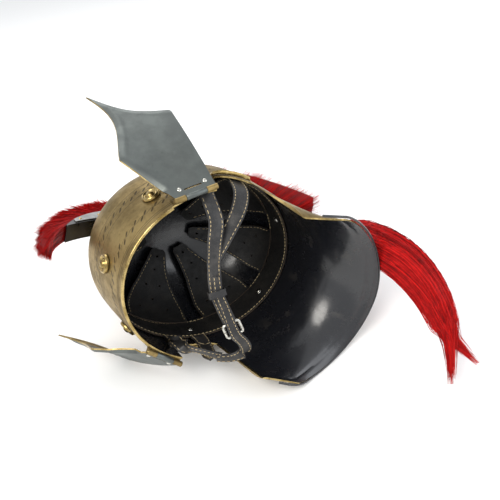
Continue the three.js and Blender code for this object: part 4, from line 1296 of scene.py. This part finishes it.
# Crest tail. Columns: left, back and up in shares of the bowl, then width and depth shares.
TAIL_WIDTH = 50
TAIL_DEPTH = 26
TAIL_ROUTE = [
    (0.03, 1.2, 0.67, 0.36, 0.5),
    (0.2, 1.34, 0.5, 0.55, 0.8),
    (0.44, 1.43, 0.14, 0.8, 1),
    (0.55, 1.4, -0.18, 0.95, 1),
    (0.5, 1.5, -0.38, 0.95, 0.95),
    (0.38, 1.58, -0.54, 0.86, 0.85),
    (0.2, 1.64, -0.69, 0.7, 0.7),
    (-0.04, 1.66, -0.84, 0.5, 0.55),
]
TAIL_WISPS = [
    [(-0.16, 1.73, -0.94, 0.3), (-0.255, 1.82, -1.055, 0.04)],
    [(-0.24, 1.58, -0.96, 0.26), (-0.45, 1.51, -1.06, 0.04)],
]
tail_head = vec(0, REACH + 1.5, HOLDER_END - 0.85)
tail_points = [tail_head] + [place(*row[:3]) for row in TAIL_ROUTE]
tail_sizes = [(0, *TAIL_ROUTE[0])] + [(k + 1, *row) for k, row in enumerate(TAIL_ROUTE)]
TAIL_ACROSS = vec(-0.25, 0.62, 0.74)
tail_lines = []
for wisp in TAIL_WISPS:
    tail_lines.append((Line(tail_points + [place(*row[:3]) for row in wisp]), wisp))

TAIL_FRAMES = 72
TAIL_LOCKS = 110
TAIL_HAIRS = 2400


def tail_axes(line, share):
    """The tail's middle and its two cross directions."""
    way = line.way(share)
    across = unit(np.cross(TAIL_ACROSS, way))
    return line.at(share), across, unit(np.cross(way, across))


def tail_frames(which):
    """The tail's middle, cross directions and half sizes, at even steps to the end of one wisp."""
    line, wisp = tail_lines[which]
    rows = len(tail_points) - 1
    frames = []
    for k in range(TAIL_FRAMES):
        share = k / (TAIL_FRAMES - 1)
        row = share * (rows + 2)
        if row <= rows:
            half = table(tail_sizes, row, 4) * TAIL_WIDTH / 2
            depth = table(tail_sizes, row, 5) * TAIL_DEPTH / 2
        else:
            past = (row - rows) / 2
            half = lerp(0.5, wisp[1][3], past ** 0.75) * TAIL_WIDTH / 2 * 0.62
            depth = half * 0.7
        frames.append(np.concatenate([*tail_axes(line, share), [half, depth]]))
    return np.array(frames)


tail_guides = [tail_frames(0), tail_frames(1)]


def tail_hair(which, side, deep, stop, wave, phase):
    """One hair of the tail, which ends in one of the two wisps."""
    share = np.linspace(0, stop, 13)
    key = share * (TAIL_FRAMES - 1)
    low = np.minimum(key.astype(int), TAIL_FRAMES - 2)
    t = (key - low)[:, None]
    guide = tail_guides[which][low] * (1 - t) + tail_guides[which][low + 1] * t
    point, across, thick = guide[:, 0:3], guide[:, 3:6], guide[:, 6:9]
    rise = np.clip((share - 0.1) / 0.8, 0, 1)
    bend = wave * np.sin(phase + 5.2 * share) * rise * rise * (3 - 2 * rise)
    push = 0.93 + 0.05 * np.sin(phase * 2 + 9 * share)
    wide = guide[:, 9] * push * side + bend
    far = guide[:, 10] * push * deep + bend
    return list(point + across * wide[:, None] + thick * far[:, None])


def tail_paths(count):
    locks = []
    for _ in range(TAIL_LOCKS):
        angle = rng.uniform(0, 2 * math.pi)
        radius = rng.random() ** 0.45
        side, deep = math.cos(angle) * radius, math.sin(angle) * radius
        locks.append((side, deep, rng.uniform(0.72, 1.0), rng.uniform(-3.4, 3.4), rng.uniform(0, 6.28)))
    paths = []
    for _ in range(count):
        side, deep, stop, wave, phase = rng.choice(locks)
        side += rng.gauss(0, 0.1)
        deep += rng.gauss(0, 0.1)
        size = max(1.0, math.hypot(side, deep))
        side, deep = side / size, deep / size
        which = 0 if rng.random() < 0.5 + 0.4 * side else 1
        end = min(1.0, stop * rng.uniform(0.9, 1.03))
        points = tail_hair(which, side, deep, end, wave, phase + rng.gauss(0, 0.15))
        tone = min(1, max(0, 0.42 + 0.32 * rng.gauss(0, 1)))
        width = rng.uniform(0.34, 0.5)
        radii = [width * min(1.0, (1 - k / 12) ** 0.4 + 0.12) for k in range(13)]
        paths.append((points, radii, tone))
    return paths


for name in ("tail_hair", "tail_hair_outer"):
    paths_object(name, tail_paths(TAIL_HAIRS), HAIR, 3)


def tail_core():
    rings = []
    line, _ = tail_lines[0]
    rows = len(tail_points) - 1
    for i in range(41):
        share = i / 40 * 0.78
        row = share * (rows + 2)
        point, across, thick = tail_axes(line, share)
        fade = max(0.05, 1 - smoothstep(0.6, 0.8, share))
        half = table(tail_sizes, min(rows, row), 4) * TAIL_WIDTH / 2 * 0.8 * fade
        depth = table(tail_sizes, min(rows, row), 5) * TAIL_DEPTH / 2 * 0.75 * fade
        angles = [2 * math.pi * j / 18 for j in range(18)]
        rings.append([point + across * half * math.cos(a) + thick * depth * math.sin(a) for a in angles])
    return loft(rings)


solid("tail_core", tail_core(), CORE, ["crest_tail"], 180)


# Liner
def band_seat(turn, height):
    """A point on the liner band's inner face and the way into the bowl."""
    seat = on_bowl(turn, height, BAND_OUT - LEATHER)
    away = unit(seat - on_bowl(turn, height, BAND_OUT))
    return seat, away


band_grid = []
for i in range(9):
    height = lerp(BAND_HIGH, BAND_LOW, i / 8)
    ease = 0.35 * (abs(i - 4) / 4) ** 6
    band_grid.append([on_bowl(turn * 2, height, BAND_OUT - ease) for turn in range(180)])
band_points, band_faces, band_numbers = thick_grid(band_grid, LEATHER - 0.3, True)
band = mesh_object("sweat_band", band_points, band_faces, [LINER, LINER, RAW], band_numbers, 50)
rounded(band, 0.35)
finished(band, "root", ["liner_band"])

# Stitches: length, distance from one to the next and radius
BAND_STITCH = (3.3, 4.9, 0.42)
TONGUE_STITCH = (3.1, 4.7, 0.38)
STRAP_STITCH = (2.7, 4.1, 0.34)
SEAM_INSET = 2.6
BAND_ROUND = 2 * math.pi * 108
band_seams = []
for height in (BAND_LOW + SEAM_INSET, BAND_HIGH - SEAM_INSET):
    band_seams += dashes(lambda share, h=height: band_seat(share * 360, h), BAND_ROUND, *BAND_STITCH)
paths_object("band_stitches", band_seams, THREAD)


def on_dome(turn, rise, out):
    angle = math.radians(rise)
    flat = math.cos(angle)
    point = vec(
        HALF_WIDTH * flat * math.sin(math.radians(turn)),
        -HALF_LENGTH * flat * math.cos(math.radians(turn)),
        WIDEST + DOME * math.sin(angle),
    )
    normal = vec(point[0] / HALF_WIDTH ** 2, point[1] / HALF_LENGTH ** 2, (point[2] - WIDEST) / DOME ** 2)
    return point + unit(normal) * out


TONGUES = 7
TONGUE_WIDE = 74
TONGUE_TIP = 18
TONGUE_PLAN = [(4, 1, 0), (15, 1, 1.5), (32, 0.86, 4), (48, 0.66, 6), (64, 0.5, 6), (74, 0.42, 3)]
DOME_ARC = 1.62
TONGUE_HOLES = [
    (-18, 20, 1.5), (18, 20, 1.5), (0, 30, 1.5), (-9, 43, 1.5), (9, 43, 1.5), (0, 57, 1.4), (0, 68, 1.6),
]
TONGUE_SEAM = 92


def tongue(number):
    middle = (number + 0.5) * (360 / TONGUES)
    lead = BAND_OUT - LEATHER - GAP - FACET
    angle = math.radians(middle)
    around = math.hypot(HALF_LENGTH * math.cos(angle), HALF_WIDTH * math.sin(angle))

    def half_at(rise):
        return lerp(TONGUE_TIP, TONGUE_WIDE, (table(TONGUE_PLAN, rise, 1) - 0.42) / 0.58) / 2

    def seat(x, y):
        rise = y / DOME_ARC
        spread_out = math.degrees(x / (around * math.cos(math.radians(rise))))
        cup = 0.6 * (x / 20) ** 2
        return on_dome(middle + spread_out, rise, lead - table(TONGUE_PLAN, rise, 2) + 0.4 * min(1.5, cup))

    def surface(x, y):
        point, normal = surface_normal(seat, x, y)
        return point, facing(normal, point - vec(0, 0, 60))

    rises = [lerp(4, 74, i / 26) for i in range(27)]
    soft = [1 - 0.32 * (1 - math.sqrt(max(0.0, 1 - max(0.0, (rise - 70) / 4.001) ** 2))) for rise in rises]
    right = [(half_at(rise) * share, rise * DOME_ARC) for rise, share in zip(rises, soft)]
    left = [(-x, y) for x, y in reversed(right)]
    foot = [(lerp(-right[0][0], right[0][0], i / 18), rises[0] * DOME_ARC) for i in range(1, 18)]
    crown = [(lerp(right[-1][0], -right[-1][0], i / 6), rises[-1] * DOME_ARC) for i in range(1, 6)]
    outline = right + crown + left + foot
    holes = [circle(x, rise * DOME_ARC, radius) for x, rise, radius in TONGUE_HOLES]
    points, faces, numbers = cut_sheet(outline, holes, 4.0, surface, LEATHER * 0.8)
    piece = mesh_object("tongue_" + str(number + 1), points, faces, [LINER, LINER, RAW], numbers, 50)
    finished(piece, "root", ["liner_tongue_" + str(number + 1)])
    seams = []
    for sign in (1, -1):
        inset = Line([np.array([sign * (x - SEAM_INSET), y, 0]) for x, y in right[1:-2]])

        def seam(share, line=inset):
            x, y, _ = line.at(share)
            point, normal = surface(x, y)
            return point - normal * LEATHER * 0.8, -normal
        seams += dashes(seam, TONGUE_SEAM, *TONGUE_STITCH)
    return seams


tongue_seams = []
for number in range(TONGUES):
    tongue_seams += tongue(number)
paths_object("tongue_stitches", tongue_seams, THREAD)

# Liner rivets, each a bright cap with a raised middle
CAP_TURNS = (-150, -95, -35, 35, 95, 150)
CAP_HEIGHT = 66
CAP_RADIUS = 4
CAP_PROFILE = [
    (0, 0), (1, 0), (0.99, 0.1), (0.93, 0.2), (0.84, 0.26), (0.7, 0.24), (0.6, 0.3), (0.45, 0.46),
    (0.25, 0.55), (0, 0.56),
]
cap_profile = [(radius * CAP_RADIUS, rise * CAP_RADIUS) for radius, rise in CAP_PROFILE]
for number, cap_turn in enumerate(CAP_TURNS, 1):
    seat = on_bowl(cap_turn, CAP_HEIGHT, BAND_OUT - LEATHER - GAP - FACET)
    away = unit(seat - on_bowl(cap_turn, CAP_HEIGHT))
    cap = lathe(cap_profile, seat, away, 32)
    solid("liner_cap_%d" % number, cap, NICKEL, ["liner_rivet_%d" % number], 60)

# Chin strap. Columns: left, back and up in shares of the bowl, then the way from edge to edge.
LEFT_FRONT = [
    (0.86, -0.3, 0.09, 0.1, 1, 0),
    (0.63, -0.26, -0.045, 0.2, 1, -0.1),
    (0.42, -0.27, -0.095, 0.2, 1, -0.3),
    (0.24, -0.27, -0.13, 0.2, 1, -0.4),
]
LEFT_BACK = [
    (0.88, 0.05, 0.09, 0.1, 1, 0),
    (0.74, -0.02, 0, 0.2, 0.8, -0.3),
    (0.52, -0.13, -0.06, 0.5, 0.8, -0.4),
    (0.3, -0.25, -0.11, 0.4, 0.9, -0.4),
]
LEFT_STEM = [
    (0.27, -0.27, -0.12, 0.2, 1, -0.4),
    (0.12, -0.26, -0.155, 0.2, 1, -0.4),
    (-0.03, -0.235, -0.19, 0.2, 1, -0.3),
    (-0.17, -0.17, -0.22, 0.3, 1, -0.3),
    (-0.3, -0.1, -0.245, 0.4, 1, -0.3),
]
RIGHT_FRONT = [
    (-0.81, -0.28, 0.09, 0.3, 0.6, -0.6),
    (-0.77, -0.25, -0.03, 0.4, 0.2, -1),
    (-0.75, -0.16, -0.12, 0.6, 0, -0.8),
    (-0.76, -0.04, -0.18, 0.8, 0, -0.6),
]
RIGHT_BACK = [
    (-0.93, 0.05, 0.09, 0.1, 1, 0),
    (-0.88, -0.02, -0.03, 0.4, 0.8, -0.3),
    (-0.8, -0.06, -0.13, 0.7, 0.3, -0.6),
]
RIGHT_STEM = [
    (-0.79, -0.07, -0.165, 0.8, 0, -0.6),
    (-0.74, 0.06, -0.22, 0.9, 0, -0.4),
    (-0.63, 0.12, -0.265, 0.7, 0.5, -0.3),
    (-0.5, 0.04, -0.29, 0.4, 0.9, -0.3),
]


def strap_root(turn):
    lay = BAND_OUT - FACET - STRAP_SHEET / 2 - STRAP ** 2 / (8 * HALF_WIDTH)
    edge = unit(on_bowl(turn + 3, BAND_LOW) - on_bowl(turn - 3, BAND_LOW))
    low = lerp(EAR_HEIGHT, BAND_LOW, 0.2)
    return [(on_bowl(turn, BAND_LOW - GAP, lay), edge), (on_bowl(turn, low, lay), edge)]


def strap_rows(rows):
    return [(place(*row[:3]), vec(*row[3:])) for row in rows]


def strip(rows, width, thickness, end_width=None, fine=9):
    """A leather strip with rounded edges, and the stitched seams along both its edges on both faces."""
    end_width = width if end_width is None else end_width
    line = Line([at for at, _ in rows])
    steps = (len(rows) - 1) * fine
    frames = []
    for i in range(steps + 1):
        share = i / steps
        key = share * (len(rows) - 1)
        row = min(len(rows) - 2, int(key))
        way = line.way(share)
        edge = lerp(rows[row][1], rows[row + 1][1], key - row)
        edge = unit(edge - way * np.dot(edge, way))
        frames.append((line.at(share), edge, np.cross(edge, way), lerp(width, end_width, share) / 2))
    rings = []
    for centre, edge, up, half in frames:
        low = thickness / 2
        section = [
            (-half, 0), (-half + 0.25, -low * 0.7), (-half + 0.8, -low), (0, -low), (half - 0.8, -low),
            (half - 0.25, -low * 0.7), (half, 0), (half - 0.25, low * 0.7), (half - 0.8, low), (0, low),
            (-half + 0.8, low), (-half + 0.25, low * 0.7)]
        rings.append([centre + edge * a + up * b for a, b in section])
    length = sum(np.linalg.norm(b[0] - a[0]) for a, b in zip(frames, frames[1:]))
    seams = []
    for side in (-1, 1):
        for face in (-1, 1):
            def seam(share, side=side, face=face):
                key = min(0.999, max(0.0, share)) * steps
                i = int(key)
                t = key - i
                here, there = frames[i], frames[i + 1]
                centre, edge, up, half = (lerp(a, b, t) for a, b in zip(here, there))
                return centre + edge * side * (half - 2.1) + up * face * thickness / 2, up * face
            seams += dashes(seam, length, *STRAP_STITCH)
    return loft(rings), seams


left_parts = [
    strip([*strap_root(78), *strap_rows(LEFT_FRONT)], STRAP, STRAP_SHEET, STEM),
    strip([*strap_root(96), *strap_rows(LEFT_BACK)], STRAP, STRAP_SHEET, STEM),
    strip(strap_rows(LEFT_STEM), STEM, STRAP_SHEET),
]
stem_rows = strap_rows(LEFT_STEM)
stem_end = stem_rows[-1]
stem_way = unit(stem_end[0] - stem_rows[-2][0])
stem_edge = unit(stem_end[1] - stem_way * np.dot(stem_end[1], stem_way))
stem_up = unit(np.cross(stem_edge, stem_way))
if stem_up[2] > 0:
    stem_up = -stem_up
buckle_at = stem_end[0] + stem_way * (BUCKLE / 2 + WIRE + GAP)
over_bar = WIRE + GAP + STRAP_SHEET / 2
over_stem = STRAP_SHEET + GAP * 2
billet_shift = (STEM - BILLET) * 0.3


def along_stem(row):
    return stem_rows[row][0] + stem_up * over_stem + stem_edge * billet_shift, stem_rows[row][1]


billet_rows = [
    (buckle_at + stem_way * BUCKLE / 2 + stem_up * over_bar, stem_edge),
    (buckle_at - stem_way * BUCKLE / 2 + stem_up * over_bar, stem_edge),
    along_stem(3),
    along_stem(2),
    along_stem(1),
]
right_parts = [
    strip([*strap_root(-78), *strap_rows(RIGHT_FRONT)], STRAP, STRAP_SHEET, STEM),
    strip([*strap_root(-96), *strap_rows(RIGHT_BACK)], STRAP, STRAP_SHEET, STEM),
    strip([*strap_rows(RIGHT_STEM), *billet_rows], STEM, STRAP_SHEET, BILLET),
]
for side, strips in (("left", left_parts), ("right", right_parts)):
    skin = merged([part for part, _ in strips])
    solid("strap_" + side, skin, HARNESS, ["chin_strap_" + side], 60)
    stitches = [dash for _, seams in strips for dash in seams]
    paths_object("strap_stitches_" + side, stitches, THREAD)


# Buckle frame and keeper loop
def rounded_frame(at, across, along, half_across, half_along, corner, section, steps=7):
    """A closed frame whose corners are round. The section is made at each place from its outward way."""
    rings = []
    for quarter, a, b in ((0, 1, 1), (90, -1, 1), (180, -1, -1), (270, 1, -1)):
        for i in range(steps):
            angle = math.radians(quarter + 90 * i / (steps - 1))
            out = across * math.cos(angle) + along * math.sin(angle)
            centre = at + across * a * (half_across - corner) + along * b * (half_along - corner)
            rings.append(section(centre + out * corner, out))
    return loft(rings, True)


def wire_section(centre, out):
    angles = [2 * math.pi * j / 14 for j in range(14)]
    return [centre + (out * math.cos(a) + stem_up * math.sin(a)) * WIRE * 0.94 for a in angles]


BUCKLE_CORNER = 2.4
buckle_skin = rounded_frame(
    buckle_at, stem_edge, stem_way, STEM / 2 + WIRE, BUCKLE / 2, BUCKLE_CORNER, wire_section)
solid("buckle", buckle_skin, NICKEL, ["strap_buckle"], 60)

keeper_at = stem_rows[2][0] + stem_up * over_stem / 2
keeper_way = unit(stem_rows[1][0] - stem_rows[3][0])
keeper_edge = unit(stem_rows[2][1] - keeper_way * np.dot(stem_rows[2][1], keeper_way))
keeper_up = unit(np.cross(keeper_edge, keeper_way))
KEEPER_SHEET = 1.2
KEEPER_CORNER = 1.5
keeper_across = STEM / 2 + GAP + KEEPER_SHEET
keeper_deep = over_stem / 2 + STRAP_SHEET / 2 + GAP + KEEPER_SHEET


def keeper_section(centre, out):
    half = KEEPER / 2
    return [centre + out * a * KEEPER_SHEET / 2 + keeper_way * b * half
            for a, b in ((-1, -0.94), (0, -1), (1, -0.94), (1, 0.94), (0, 1), (-1, 0.94))]


keeper_skin = rounded_frame(
    keeper_at, keeper_edge, keeper_up, keeper_across, keeper_deep, KEEPER_CORNER, keeper_section)
solid("keeper", keeper_skin, HARNESS, ["strap_keeper"], 50)

# Floor, light and camera
floor_mesh = bpy.data.meshes.new("floor")
floor_mesh.from_pydata([(-6, -6, 0), (6, -6, 0), (6, 6, 0), (-6, 6, 0)], [], [(0, 1, 2, 3)])
floor = bpy.data.objects.new("floor", floor_mesh)
bpy.context.scene.collection.objects.link(floor)
paper = bpy.data.materials.new("paper_backdrop_matte")
paper.use_nodes = True
wire(paper.node_tree, paper.node_tree.nodes["Principled BSDF"], Base_Color=linear("F6F6F5"), Roughness=0.9)
floor_mesh.materials.append(paper)


def area_light(name, at, toward, size, power, colour):
    data = bpy.data.lights.new(name, "AREA")
    data.shape = "DISK"
    data.size = size
    data.energy = power
    data.color = linear(colour)[:3]
    lamp = bpy.data.objects.new(name, data)
    lamp.location = at
    lamp.rotation_euler = (Vector(toward) - Vector(at)).to_track_quat("-Z", "Y").to_euler()
    bpy.context.scene.collection.objects.link(lamp)


area_light("key", (-0.9, -0.5, 1.3), (0, 0, 0.1), 0.9, 17, "FFFBF4")
area_light("fill", (1.2, -1.0, 0.9), (0.05, 0, 0.1), 1.3, 9, "F4F8FF")
area_light("back", (0.3, 1.2, 1.2), (0, 0, 0.15), 1.0, 8, "FFFFFF")

world = bpy.data.worlds.new("studio")
world.use_nodes = True
world.node_tree.nodes["Background"].inputs["Color"].default_value = linear("F2F4F7")
world.node_tree.nodes["Background"].inputs["Strength"].default_value = 0.95
bpy.context.scene.world = world

# The photo's camera, found from the rim, the plates and the neck guard
CAMERA_AT = vec(199.5, -318.4, -466.5)
CAMERA_RIGHT = vec(0.2139, 0.8235, -0.5254)
CAMERA_DOWN = vec(-0.9362, 0.0192, -0.351)
CAMERA_FORWARD = vec(-0.279, 0.5669, 0.7751)
camera_data = bpy.data.cameras.new("photo_camera")
camera_data.sensor_width = 36
camera_data.lens = 40.77
camera_data.clip_start = 0.01
camera = bpy.data.objects.new("photo_camera", camera_data)
turn = np.stack([LAY @ CAMERA_RIGHT, -(LAY @ CAMERA_DOWN), -(LAY @ CAMERA_FORWARD)], axis=1)
camera.matrix_world = Matrix.Translation(Vector(lie([CAMERA_AT])[0])) @ Matrix(turn.tolist()).to_4x4()
bpy.context.scene.collection.objects.link(camera)
bpy.context.scene.camera = camera

view = bpy.context.scene.view_settings
view.view_transform = "Standard"
